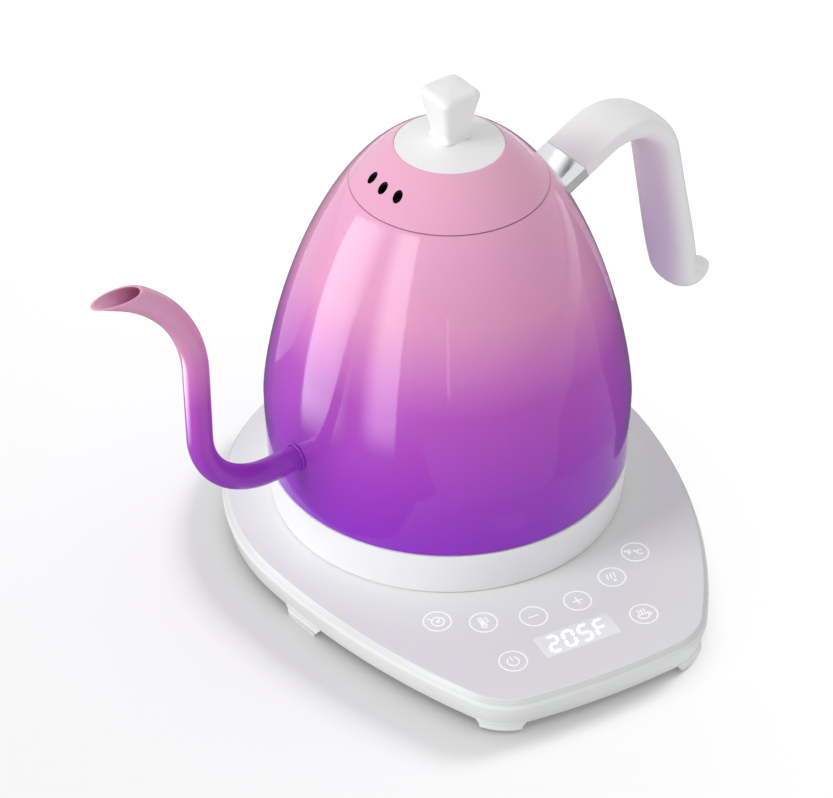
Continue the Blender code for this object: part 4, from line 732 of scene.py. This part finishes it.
def bracket():
    """Polished block that lands on the body's curve, with a tongue into the grip."""
    size = (BAR_WIDTH, BAR_DEEP[0], ROOT_SOFT)
    way = Vector((cos(RISE_ANGLE), 0, sin(RISE_ANGLE)))

    def landed(spot):
        def clear(distance):
            test = spot + way * distance
            return hypot(test.x, test.y) > egg_r(test.z) + GAP
        return spot + way * narrowed(-0.02, 0, clear)[1]

    root = [landed(spot) for spot in bar_ring(BRACKET / 2, *size)]
    end = bar_ring(BRACKET, size[0] - 0.0002, size[1] - 0.0002, size[2])
    last = bar_ring(BRACKET - 0.0001, *size)
    rings = [[a.lerp(b, t) for a, b in zip(root, last)] for t in steps(0, 1, 12)] + [end]
    tongue = [bar_ring(s, TONGUE_WIDTH, TONGUE_DEEP, TONGUE_SOFT)
              for s in (BRACKET - 0.001, BRACKET + TONGUE)]
    skinned("bracket_skin", [rings, tongue], BRIGHT, "kettle", "bracket_steel", "handle_bracket")


bracket()


# Power base.
def outline_arcs(side_r):
    """Centre, radius, bearings and count of points of each arc of half the outline."""
    front = Vector((0, FRONT_R - FRONT_REACH))
    half = CORNER_SPREAD / 2
    corner = Vector((half, front.y - sqrt((FRONT_R - CORNER_R) ** 2 - half ** 2)))
    back, fore, span = side_r - BACK_R, side_r - CORNER_R, corner.length
    along = (back ** 2 - fore ** 2 + span ** 2) / (2 * span)
    unit = corner / span
    side = unit * along - Vector((-unit.y, unit.x)) * sqrt(back ** 2 - along ** 2)
    front_end, corner_end, side_end = [atan2(v.y, v.x) for v in (corner - front, corner - side, -side)]
    return {
        "front": (front, FRONT_R, -QUARTER, front_end, 18),
        "corner": (corner, CORNER_R, front_end, corner_end, 26),
        "side": (side, side_r, corner_end, side_end, 24),
        "back": (Vector((0, 0)), BACK_R, side_end, QUARTER, 52),
    }


# The right half, and the left half as its mirror image, which runs a little straighter.
ARCS = {False: outline_arcs(SIDE_R), True: outline_arcs(LEFT_SIDE_R)}


def on_arc(centre, r, a, mirrored):
    x = centre.x + cos(a) * r
    return (-x if mirrored else x, centre.y + sin(a) * r)


def outline(inset):
    """The base's outline, moved inwards: the right half from the front, then the left half back again."""
    right, left = [[on_arc(centre, radius - inset, first + (last - first) * i / count, mirrored)
                    for centre, radius, first, last, count in ARCS[mirrored].values() for i in range(count)]
                   for mirrored in (False, True)]
    return right + [(0, BACK_R - inset)] + left[:0:-1]


BEARINGS = [atan2(y, x) for x, y in outline(0)]


def hoop(r):
    return [(r * cos(a), r * sin(a)) for a in BEARINGS]


def panel():
    """Flat top with the low lip round the plug and a bevelled edge painted a darker grey as shade."""
    lip_top, lip_out, lip_soft = BASE_Z + 0.0011, LIP_INNER + 0.0026, 0.0004
    bottom, edge_inset = BASE_Z - RIM_DEPTH, 0.00003
    rings = [(hoop(LIP_INNER), lip_top - 0.0002), (hoop(LIP_INNER + 0.0002), lip_top)]
    rings += [(hoop(lip_out - 0.00055 - lip_soft + lip_soft * sin(a)), lip_top - lip_soft * (1 - cos(a)))
              for a in steps(0, QUARTER, 5)]
    rings += [(hoop(lip_out), BASE_Z + 0.0001), (hoop(lip_out + 0.0003), BASE_Z),
              (hoop(lip_out + 0.0012), BASE_Z)]
    edge = ease([
        (EDGE_ROUND + 0.0012, BASE_Z), (EDGE_ROUND, BASE_Z, 0.0005),
        (EDGE_ROUND * 0.42, BASE_Z - RIM_DEPTH * 0.42, 0.005),
        (edge_inset, bottom + 0.0003, 0.0005), (edge_inset, bottom)], closed=False)
    middles = [(a[0] + b[0]) / 2 for a, b in zip(edge, edge[1:])]
    # The bevel's rings take the darker grey of painted shade; the flat and the ridge keep the panel's own
    # grey.
    marks = [0] * len(rings) + [1 if EDGE_ROUND - 0.0002 > m > 0.0006 else 0 for m in middles] + [0] * 4
    rings += [(outline(inset), z) for inset, z in edge]
    rings += [(outline(RIM_WALL), bottom), (outline(RIM_WALL), PANEL_UNDER), (hoop(LIP_INNER), PANEL_UNDER)]
    skinned("panel_skin", [[level(points, z) for points, z in rings]], (PANEL, RIM_PAINTED_SHADE), "base", "panel_grey",
            "base_top_panel", looped=True, marks=marks, sharp=60)


panel()


def rim_strip(arc, middle, length, outer_inset, inner_inset, mirrored):
    """Outline of a foot that follows an arc of the base."""
    centre, radius = ARCS[mirrored][arc][:2]
    half = length / (2 * radius)
    along = steps(middle - half, middle + half, 15)
    return ([on_arc(centre, radius - outer_inset, a, mirrored) for a in along]
            + [on_arc(centre, radius - inner_inset, a, mirrored) for a in along[::-1]])


# Trim of the sides, added length and height of each ring of a foot, from the pad up.
FOOT_RINGS = (
    (-0.0001, -0.0016, FOOT_BOTTOM), (-0.0004, -0.001, FOOT_BOTTOM + 0.00015),
    (-0.0004, -0.0006, FOOT_BOTTOM + 0.0005), (-0.0002, -0.0002, FOOT_BOTTOM + 0.0011),
    (0, 0.0004, FOOT_BOTTOM + 0.0016), (0, 0.0012, TRAY_BOTTOM + 0.0001),
    (0, 0.0022, TRAY_BOTTOM + 0.0004), (0, 0.0028, TRAY_BOTTOM + 0.0016),
)


def tray():
    """Lower housing; its feet carry the wall's face on down to the pads."""
    low_in, top_in, top = TRAY_STEP + TRAY_LEAN, 0.0001, BASE_Z - RIM_DEPTH - 0.00006
    section = ease([
        (low_in + 0.0012, TRAY_BOTTOM, 0.0008), (low_in, TRAY_BOTTOM + 0.00075, 0.0006),
        (top_in, top, 0.0002), (top_in + TRAY_WALL, top), (low_in + TRAY_WALL, TRAY_FLOOR_TOP)], closed=False)
    section.insert(0, (low_in + 0.004, TRAY_BOTTOM))
    stacks = [[level(outline(inset), z) for inset, z in section]]
    foot_top = FOOT_RINGS[-1][2]
    out = top_in + (low_in - top_in) * (top - foot_top) / (top - TRAY_BOTTOM) - 0.00003
    for mirrored, arcs in ARCS.items():
        corner, side = arcs["corner"], arcs["side"]
        for arc, middle in (("corner", (corner[2] + corner[3]) / 2), ("back", radians(58)),
                            ("side", asin((-SIDE_FOOT_SETBACK - side[0].y) / side[1]))):
            stacks.append([level(rim_strip(arc, middle, FOOT_LENGTH + longer, out + trim,
                                           out + FOOT_DEPTH - trim, mirrored), z)
                           for trim, longer, z in FOOT_RINGS])
    holes = [drill(SCREW_R + GAP, 24, x, y, FOOT_BOTTOM, 0.008) for x, y in HOUSING_SCREWS]
    half, near, far = (0.011 + 2 * GAP) / 2, BACK_R - 0.0135, BACK_R + 0.0135
    box = [(-half, near), (half, near), (half, far), (-half, far)]
    notch = [level(box, TRAY_FLOOR_TOP), level(box, BASE_Z)]
    skinned("tray_skin", stacks, PANEL, "base", "panel_grey", "base_bottom_tray", cuts=[holes, [notch]])


tray()


def grommet():
    """Rubber bush in the rear wall, with the lead's hole."""
    body, flange, soft = 2 * 0.0055, 2 * 0.0075, 0.0012
    wall_face = BACK_R - TRAY_STEP - TRAY_LEAN - TRAY_WALL
    shoulder = sqrt(wall_face ** 2 - (flange / 2) ** 2) - GAP
    z0, z1 = TRAY_FLOOR_TOP + GAP, TRAY_TOP - GAP
    mid, tall = (z0 + z1) / 2, z1 - z0

    def upright_ring(points, y):
        return [(x, y, mid + z) for x, z in points]

    rings = [upright_ring(soft_rectangle(width, tall, corner), y) for y, width, corner in (
        (BACK_R - 0.0005, body - 0.0008, 0.001), (BACK_R - 0.0009, body, soft), (shoulder, body, soft),
        (shoulder, flange, soft), (BACK_R - 0.009, flange, soft))]
    hole = [upright_ring(circle(0.0026, 40), y) for y in (BACK_R + 0.002, BACK_R - 0.011)]
    skinned("grommet_skin", [rings], RUBBER, "base", "rubber", "cord_grommet", cuts=[[hole]])


grommet()


# Coupling and underside.
def contact(name, points, body, solid, closed=True, count=96):
    turned(name, points, BRASS, body, "contact_brass", solid, closed=closed, count=count)


top, bottom = BASE_Z + PLUG_Z, TRAY_FLOOR_TOP + GAP
foot, flange, tips, soft = bottom + 0.0027, 0.021, top - 0.0007, 0.0002
turned("plug_skin", [
    (0, top - 0.01), (0.0028, top - 0.01), (0.0028, top, 0.0003), (0.0066, top, 0.0003),
    (0.0066, top - 0.007), (0.0102, top - 0.007), (0.0102, top, 0.0003), (PLUG_R, top, 0.001),
    (PLUG_R, foot), (flange, foot), (flange, bottom), (0, bottom)],
    BLACK, "base", "black_plastic", "connector_plug", closed=False, count=96)
contact("ring_contact_skin", [
    (0.0069, top - 0.0067), (0.0076, top - 0.0067), (0.0076, tips, soft), (0.0069, tips, soft)],
    "base", "plug_ring_contact")
contact("centre_contact_skin", [
    (0.0018, top - 0.0097), (0.0025, top - 0.0097), (0.0025, tips, soft), (0.0018, tips, soft)],
    "base", "plug_centre_contact", count=64)
roof, flange_low, flange = CEILING + 0.0028, 0.004 + GAP, SOCKET_R + 0.003
flange_top, hang = flange_low + 0.002, CEILING - GAP
turned("socket_skin", [
    (0, roof), (SOCKET_R, roof, 0.0014), (SOCKET_R, flange_top), (flange, flange_top, 0.0003),
    (flange, flange_low), (SOCKET_R, flange_low), (SOCKET_R, SOCKET_BOTTOM, 0.0006),
    (LIP_INNER, SOCKET_BOTTOM, 0.0006), (LIP_INNER, CEILING), (0, CEILING)],
    BLACK, "coupler", "black_plastic", "coupler_socket", closed=False, count=96)
contact("socket_contact_skin", [
    (0.0087, hang - 0.0054, soft), (0.0094, hang - 0.0054, soft), (0.0094, hang), (0.0087, hang)],
    "coupler", "socket_ring_contact")
contact("socket_pin_skin", [(0, hang), (0.0014, hang), (0.0014, hang - 0.0068, 0.0012), (0, hang - 0.0068)],
        "coupler", "socket_centre_pin", closed=False, count=64)
cover_r, opening, cover_rim = SKIRT_INNER_R - GAP, SOCKET_R + 0.0008, TUCK_Z - GAP
STUDS = [(STUD_R * cos(a), STUD_R * sin(a)) for a in [radians(90 + 120 * i) for i in range(3)]]
turned("cover_skin", [
    (cover_r, cover_rim), (cover_r, COVER_Z, 0.0008), (opening, COVER_Z, 0.0005), (opening, COVER_TOP),
    (cover_r - 0.0016, COVER_TOP), (cover_r - 0.0016, cover_rim)],
    WHITE, "kettle", "white_satin", "bottom_cover",
    cuts=[[drill(SCREW_R + GAP, 24, x, y, 0, 0.006) for x, y in STUDS]])


def screw(name, length, at, body, solid):
    """Pan-head screw with a six-sided recess, head below the seat."""
    count, sixth = 48, pi / 6
    key = SCREW_HEAD * 0.5

    def six(r):
        sides = [(a, r * cos(sixth) / cos(a % (pi / 3) - sixth)) for a in turns(count)]
        return [(far * cos(a), far * sin(a)) for a, far in sides]

    rows = [level(six(key * 0.9), -SCREW_HEAD_Z * 0.35), level(six(key), -SCREW_HEAD_Z * 0.93)]
    rows += [level(circle(SCREW_HEAD * share, count), -SCREW_HEAD_Z * deep) for share, deep in (
        (0.62, 1), (0.78, 0.93), (0.92, 0.75), (0.99, 0.5), (1, 0.25), (1, 0))]
    rows += [level(circle(r, count), up) for r, up in (
        (SCREW_R, 0), (SCREW_R, length - 0.0006), (SCREW_R * 0.5, length))]
    skinned(name, [rows], FASTENER, body, "fastener_steel", solid, at=at)


head = -BAR_DEEP[0] / 2 + SCREW_HEAD_Z
for label, body, length, places in (
        ("housing", "base", PANEL_UNDER - 0.001 - TRAY_BOTTOM,
         [BASE_AT @ shifted(x, y, TRAY_BOTTOM - GAP) for x, y in HOUSING_SCREWS]),
        ("cover", "kettle", 0.0123, [KETTLE_AT @ shifted(x, y, COVER_Z - GAP) for x, y in STUDS]),
        ("handle", "kettle", TONGUE_DEEP / 2 + 2 * GAP - head,
         [KETTLE_AT @ at @ shifted(0, 0, head) for at in HANDLE_SCREWS])):
    for number, at in enumerate(places, 1):
        screw("%s_screw_skin_%d" % (label, number), length, at, body, "%s_screw_%d" % (label, number))
screw("knob_screw_skin", KNOB_Z + KNOB_HEIGHT / 2 - liner_low,
      KETTLE_AT @ shifted(0, 0, liner_low - GAP), "lid", "knob_screw")


# Printed keys and display.
PRINT_Z, PRINT_RISE = BASE_Z + 0.00001, 0.00005


def stroke(shape, points, width, closed=False):
    """A thin raised line with round ends along points on the panel."""
    spots = [Vector(p) for p in points]
    count = len(spots)
    left, right = [], []
    for i, spot in enumerate(spots):
        before = spots[i - 1] if i or closed else None
        after = spots[(i + 1) % count] if i < count - 1 or closed else None
        way = ((after or spot) - (before or spot)).normalized()
        side = Vector((-way.y, way.x)) * (width / 2)
        if before and after:
            bend = (spot - before).normalized().dot((after - spot).normalized())
            side /= max(sqrt(max((1 + bend) / 2, 0)), 0.5)
        left.append(spot + side)
        right.append(spot - side)

    def tip(spot, out):
        a = atan2(out.y, out.x)
        return [spot + Vector((cos(a + t), sin(a + t))) * (width / 2)
                for t in steps(-QUARTER, QUARTER, 7)[1:-1]]

    if closed:
        rows = ((left, 0), (left, PRINT_RISE), (right, PRINT_RISE), (right, 0))
    else:
        loop = right + tip(spots[-1], spots[-1] - spots[-2]) + left[::-1] + tip(spots[0], spots[0] - spots[1])
        rows = ((loop, 0), (loop, PRINT_RISE))
    skin(shape, [level(pts, PRINT_Z + z) for pts, z in rows], looped=closed)


def arc(cx, cy, r, first, last, count=24):
    return [(cx + r * cos(radians(a)), cy + r * sin(radians(a)))
            for a in steps(first, last, count)]


# Generic signs of the keys, left then right from the rear: a list is a line, a tuple a ring or an open arc.
SIGNS = {
    "timer": [(0.1, -0.2, 1.9), (0.1, -0.2, 0.35), [(-1.6, 1.6), (-2.1, 2.1)], [(0.1, -0.2), (0.9, 0.7)]],
    "units": [[(-2, -0.4), (-2, 1.5), (-0.9, 1.5)], [(-2, 0.6), (-1.1, 0.6)], (-2.6, 1.6, 0.28),
              (1.4, -0.6, 0.95, 45, 315), (0.1, 0.5, 0.28)],
    "heat": [(-0.4, -1.4, 0.85, 125, 415),
             [(-0.9, -0.7), (-0.9, 1.7), (-0.75, 2.05), (-0.4, 2.2), (-0.05, 2.05), (0.1, 1.7), (0.1, -0.7)],
             [(-0.4, -1.4), (-0.4, 0.8)]] + [[(1, y), (1.8, y)] for y in (1.6, 0.7, -0.2)],
    "hold": [[(x, -0.4), (x + 0.5, 1.7)] for x in (-1.5, -0.3, 0.9)] + [(0.2, -1.6, 0.3)],
    "minus": [[(-1.6, 0), (1.6, 0)]],
    "plus": [[(-1.6, 0), (1.6, 0)], [(0, -1.6), (0, 1.6)]],
    "power": [(0, -0.1, 1.8, 125, 415), [(0, 0.4), (0, 2.1)]],
    "cup": [[(-2, 0.1), (-1.9, -0.9), (-1.4, -1.6), (-0.6, -1.9), (0.3, -1.9), (1, -1.5), (1.4, -0.8),
             (1.5, 0.1), (-2, 0.1)], (1.6, -0.5, 0.6, -80, 80)]
           + [[(x, 0.9), (x + 0.2, 1.3), (x, 1.7), (x + 0.2, 2.1)] for x in (-1.2, -0.2, 0.8)],
}
SIGN_LINE, SIGN_UNIT = 0.00054, 0.00128


def sign(shape, marks, cx, cy):
    for mark in marks:
        if isinstance(mark, list):
            stroke(shape, [(cx + x * SIGN_UNIT, cy + y * SIGN_UNIT) for x, y in mark], SIGN_LINE)
            continue
        x, y, r = mark[:3]
        whole = len(mark) == 3
        sweep = (0, 352, 40) if whole else mark[3:]
        stroke(shape, arc(cx + x * SIGN_UNIT, cy + y * SIGN_UNIT, r * SIGN_UNIT, *sweep), SIGN_LINE, whole)


# Ends of the seven bars of a figure, in half heights and whole widths, and the bars that each figure lights.
BARS = {"a": ((0, 2), (1, 2)), "b": ((1, 2), (1, 1)), "c": ((1, 1), (1, 0)), "d": ((0, 0), (1, 0)),
        "e": ((0, 0), (0, 1)), "f": ((0, 1), (0, 2)), "g": ((0, 1), (1, 1))}
SHOWN = ("abged", "abcdef", "afgcd", "aefg")


def keys():
    places = [(side * spread, setback - FRONT_REACH) for setback, spread in KEYS for side in (-1, 1)]
    for number, ((x, y), (kind, marks)) in enumerate(zip(places, SIGNS.items()), 1):
        shape = bmesh.new()
        stroke(shape, arc(x, y, KEY_RING_R, 0, 356, 90), KEY_LINE, True)
        sign(shape, marks, x, y)
        piece("key_print_%d_%s" % (number, kind), shape, PRINT, "base", "white_satin")


def display():
    whole = soft_rectangle(DISPLAY_W, DISPLAY_D, 0.0008)
    inner = soft_rectangle(DISPLAY_W - 0.0002, DISPLAY_D - 0.0002, 0.0007)
    rows = [[(x, y + DISPLAY_Y, BASE_Z + z) for x, y in pts]
            for pts, z in ((whole, 0.00001), (whole, 0.00003), (inner, 0.00005))]
    skinned("display_window", [rows], SCREEN, "base", "display")
    wide, tall, gap, lean, thick, pitch = 0.004, 0.008, 0.00022, 0.14, 0.0013, 0.0068
    stacks = []
    for place, shown in enumerate(SHOWN):
        cx = (place - 1.5) * pitch
        for ends in [ends for name, ends in BARS.items() if name in shown]:
            a, b = [Vector(((x - 0.5) * wide, (y - 1) * tall / 2)) for x, y in ends]
            way = (b - a).normalized()
            a, b = a + way * gap, b - way * gap
            side = Vector((-way.y, way.x)) * thick / 2
            nose = way * thick / 2
            loop = [a, a + nose + side, b - nose + side, b, b - nose - side, a + nose - side]
            loop = [(cx + p.x + lean * p.y, DISPLAY_Y + p.y) for p in loop]
            stacks.append([level(loop, BASE_Z + z) for z in (0.00006, 0.0001)])
    skinned("display_digits", stacks, DIGITS, "base", "display")


keys()
display()

# Finishes of the solids that stay.
CARRIED = {
    STEEL: ("kettle_floor", "heating_element", "temperature_probe"), ALUMINIUM: ("heat_spreader",),
    SILICONE: ("probe_seal",), BLACK: ("boil_dry_thermostat", "buzzer"), FILM: ("relay", "filter_capacitor"),
    COIL: ("transformer",), BOARD: ("control_board", "power_board"), SCREEN: ("display_module",),
    BRASS: ["touch_pad_%d" % n for n in range(1, 9)], PALE_RUBBER: ["foot_pad_%d" % n for n in range(1, 7)],
}
for finish, names in CARRIED.items():
    for name in names:
        NODES[name].data.materials.clear()
        NODES[name].data.materials.append(finish)


# Floor, world, lights and camera.
RIGHT, AHEAD = Vector((0.8896, -0.4568, 0)), Vector((0.4568, 0.8896, 0))
MIDDLE = Vector((*AXIS, 0))
WORLD_LIGHT, FLOOR_R, FLOOR_TONE, FLOOR_SEEN, FLOOR_GLOW = 0.64, 3, 0.6, 0.57, 0.12
FADE_FROM, FADE_TO = 0.28, 0.75
CAMERA_AT, PITCH, LENS = Vector((-0.418, -0.7871, 0.7631)), radians(38.426), 123.4


def from_middle(right, ahead, up):
    return MIDDLE + RIGHT * right + AHEAD * ahead + Vector((0, 0, up))


def smooth(tree, value, first, last):
    sockets = {"Value": value, "From Min": first, "From Max": last}
    return add_node(tree, "MapRange", "Result", sockets, interpolation_type="SMOOTHSTEP")


def blend(tree, share, first, second):
    return add_node(tree, "MixShader", 0, {0: share, 1: first, 2: second})


def seen_rays(tree):
    """One where the ray comes from the camera or a mirror-like surface."""
    rays = add_node(tree, "LightPath").node.outputs
    mirrored = maths(tree, "MAXIMUM", rays["Is Camera Ray"], rays["Is Glossy Ray"])
    return maths(tree, "MAXIMUM", mirrored, rays["Is Transmission Ray"])


def studio():
    """White world and a pale floor, which the camera sees lighter than the lamps do."""
    world = bpy.data.worlds.new("studio")
    SCENE.world = world
    world.use_nodes = True
    tree = world.node_tree
    plain = tree.nodes["Background"].outputs[0]
    plug_in(tree, plain.node.inputs["Color"], FULL_WHITE)
    plug_in(tree, plain.node.inputs["Strength"], WORLD_LIGHT)
    white = add_node(tree, "Background", 0, {"Color": FULL_WHITE, "Strength": 1})
    plug_in(tree, tree.nodes["World Output"].inputs["Surface"], blend(tree, seen_rays(tree), plain, white))

    shape = bmesh.new()
    shape.faces.new([shape.verts.new(p) for p in level(circle(FLOOR_R, 64, MIDDLE.x, MIDDLE.y), 0)])
    floor = added("floor", flat_mesh("floor", shape, Matrix.Identity(4), 30))
    f = Finish("floor_white")
    tree = f.tree
    tree.nodes.remove(f.shader)
    matt, seen = [f.add("BsdfDiffuse", 0, {"Color": (tone, tone, tone, 1)})
                  for tone in (FLOOR_TONE, FLOOR_SEEN)]
    glow = f.add("Emission", 0, {"Strength": FLOOR_GLOW})
    seen = f.add("AddShader", 0, {0: seen, 1: glow})
    near = blend(tree, seen_rays(tree), matt, seen)
    # Far from the kettle the floor runs out into the plain white backdrop.
    spot = f.add("NewGeometry", "Position")
    away = f.add("VectorMath", "Value", {0: spot, 1: MIDDLE}, operation="DISTANCE")
    camera_ray = f.add("LightPath", "Is Camera Ray")
    far = maths(tree, "MULTIPLY", smooth(tree, away, FADE_FROM, FADE_TO), camera_ray)
    plug_in(tree, tree.nodes["Material Output"].inputs["Surface"], blend(tree, far, near, f.add("Emission")))
    floor.data.materials.append(f.mat)
    return floor


def lamp(name, right, ahead, up, size, power, only_floor, aim=0):
    """Soft square lamp for the floor alone, or for all but the floor."""
    data = bpy.data.lights.new(name, "AREA")
    data.shape, data.size, data.size_y, data.energy = "RECTANGLE", size, size, power
    obj = added(name, data)
    obj.location = from_middle(right, ahead, up)
    way = MIDDLE + Vector((0, 0, aim)) - obj.location
    obj.rotation_euler = way.to_track_quat("-Z", "Y").to_euler()
    obj.visible_glossy = obj.visible_camera = False
    group = bpy.data.collections.new(name + "_floor")
    group.objects.link(FLOOR)
    group.collection_objects[0].light_linking.link_state = "INCLUDE" if only_floor else "EXCLUDE"
    obj.light_linking.receiver_collection = group
    return obj


def card(name, corners, strength, fade=()):
    """Reflector or flag that only glossy surfaces show; corners are right, ahead and up.

    fade is the share over which its light fades out at the first side, last side, foot and head.
    """
    shape = bmesh.new()
    face = shape.faces.new([shape.verts.new(from_middle(*corner)) for corner in corners])
    if fade:
        layer = shape.loops.layers.uv.new("card")
        for loop, corner in zip(face.loops, ((0, 0), (1, 0), (1, 1), (0, 1))):
            loop[layer].uv = corner
        bmesh.ops.subdivide_edges(shape, edges=shape.edges, cuts=12, use_grid_fill=True)
    obj = added(name, flat_mesh(name, shape, Matrix.Identity(4), 30))
    f = Finish(name, rough=0.5, Base_Color=(0, 0, 0, 1), Specular_IOR_Level=0, Emission_Color=FULL_WHITE)
    spot = f.add("SeparateXYZ", 0, {"Vector": f.add("UVMap")}).node.outputs
    for axis, side, share in zip("XXYY", (0, 1, 0, 1), fade):
        if share:
            inwards = smooth(f.tree, spot[axis], side, abs(side - share))
            strength = maths(f.tree, "MULTIPLY", strength, inwards)
    f.feed(Emission_Strength=strength)
    obj.data.materials.append(f.mat)
    obj.visible_camera = obj.visible_diffuse = obj.visible_shadow = obj.visible_transmission = False


def upright(bearing, distance, corners):
    """Corners given sideways and up on a plane that faces the kettle from a bearing."""
    c, s = cos(radians(bearing)), sin(radians(bearing))
    return [(distance * s + side * c, -distance * c + side * s, up) for side, up in corners]


def lying(height, corners):
    """Corners given right and ahead just above the floor."""
    return [(right, ahead, height) for right, ahead in corners]


FLOOR = studio()
lamp("key", -1.84, -0.98, 1.42, 1, 29, False, aim=0.1)
lamp("floor_top", 0.1, 0.25, 1.2, 2.6, 19.5, True)
low_lamp = lamp("floor_low", 1.12, 0.84, 1.05, 0.5, 23, True)
# From this low lamp only the base throws a shadow, so it stays short and close.
edge_group = bpy.data.collections.new("floor_low_edge")
for name in ("panel_skin", "tray_skin"):
    edge_group.objects.link(bpy.data.objects[name])
low_lamp.light_linking.blocker_collection = edge_group
card("left_reflector", [
    (-0.18, -0.145, 0.012), (-0.18, -0.024, 0.01), (-0.18, 0.03, 0.19), (-0.18, -0.11, 0.262)],
    7.6, (0.48, 0.08, 0.2, 0.04))
card("front_reflector", upright(-42, 0.24, [
    (-0.03, 0.014), (0.068, 0.014), (0.055, 0.318), (-0.074, 0.288)]), 8.6, (0.55, 0.08, 0.16, 0.04))
card("streak_reflector", upright(-20, 0.4, [
    (0.134, 0.066), (0.16, 0.066), (0.148, 0.232), (0.124, 0.232)]), 4.5, (0.4, 0.4, 0.15, 0.15))
card("band_reflector", [
    (0.0101, 0.06, 0.1932), (0.0158, 0.0477, 0.1921), (0.021, 0.0561, 0.1967), (0.0142, 0.0654, 0.1963)],
    1.6, (0.05, 0.7, 0, 0))
card("back_flag", lying(0.0006, [
    (-0.09, 0.03), (-0.13, 0.03), (-0.18, 0.12), (-0.24, 0.25), (-0.4, 0.55), (0.55, 0.6), (0.7, 0.3),
    (0.3, 0.06), (0.14, 0.02), (0.09, 0), (0, 0.06)]), 0.12)
card("left_flag", lying(0.0005, [
    (-0.6, 0.2), (-0.3, 0.1), (-0.17, 0.1), (-0.09, 0.03), (-0.06, -0.05), (-0.02, -0.21), (-0.1, -0.4),
    (-0.4, -0.45)]), 0.2)
card("right_flag", lying(0.0005, [
    (0.09, 0), (0.14, 0.02), (0.3, 0.06), (0.7, 0.3), (0.7, 0), (0.32, -0.16), (0.1, -0.1)]), 0.5)

eye = bpy.data.cameras.new("camera")
eye.sensor_width, eye.sensor_fit, eye.lens = 36, "HORIZONTAL", LENS
eye.clip_start, eye.clip_end = 0.01, 20
camera = added("camera", eye)
look = AHEAD * cos(PITCH) - Vector((0, 0, sin(PITCH)))
camera.location = MIDDLE + CAMERA_AT
camera.rotation_euler = look.to_track_quat("-Z", "Y").to_euler()
bpy.context.scene.camera = camera
bpy.context.scene.view_settings.view_transform = "Standard"
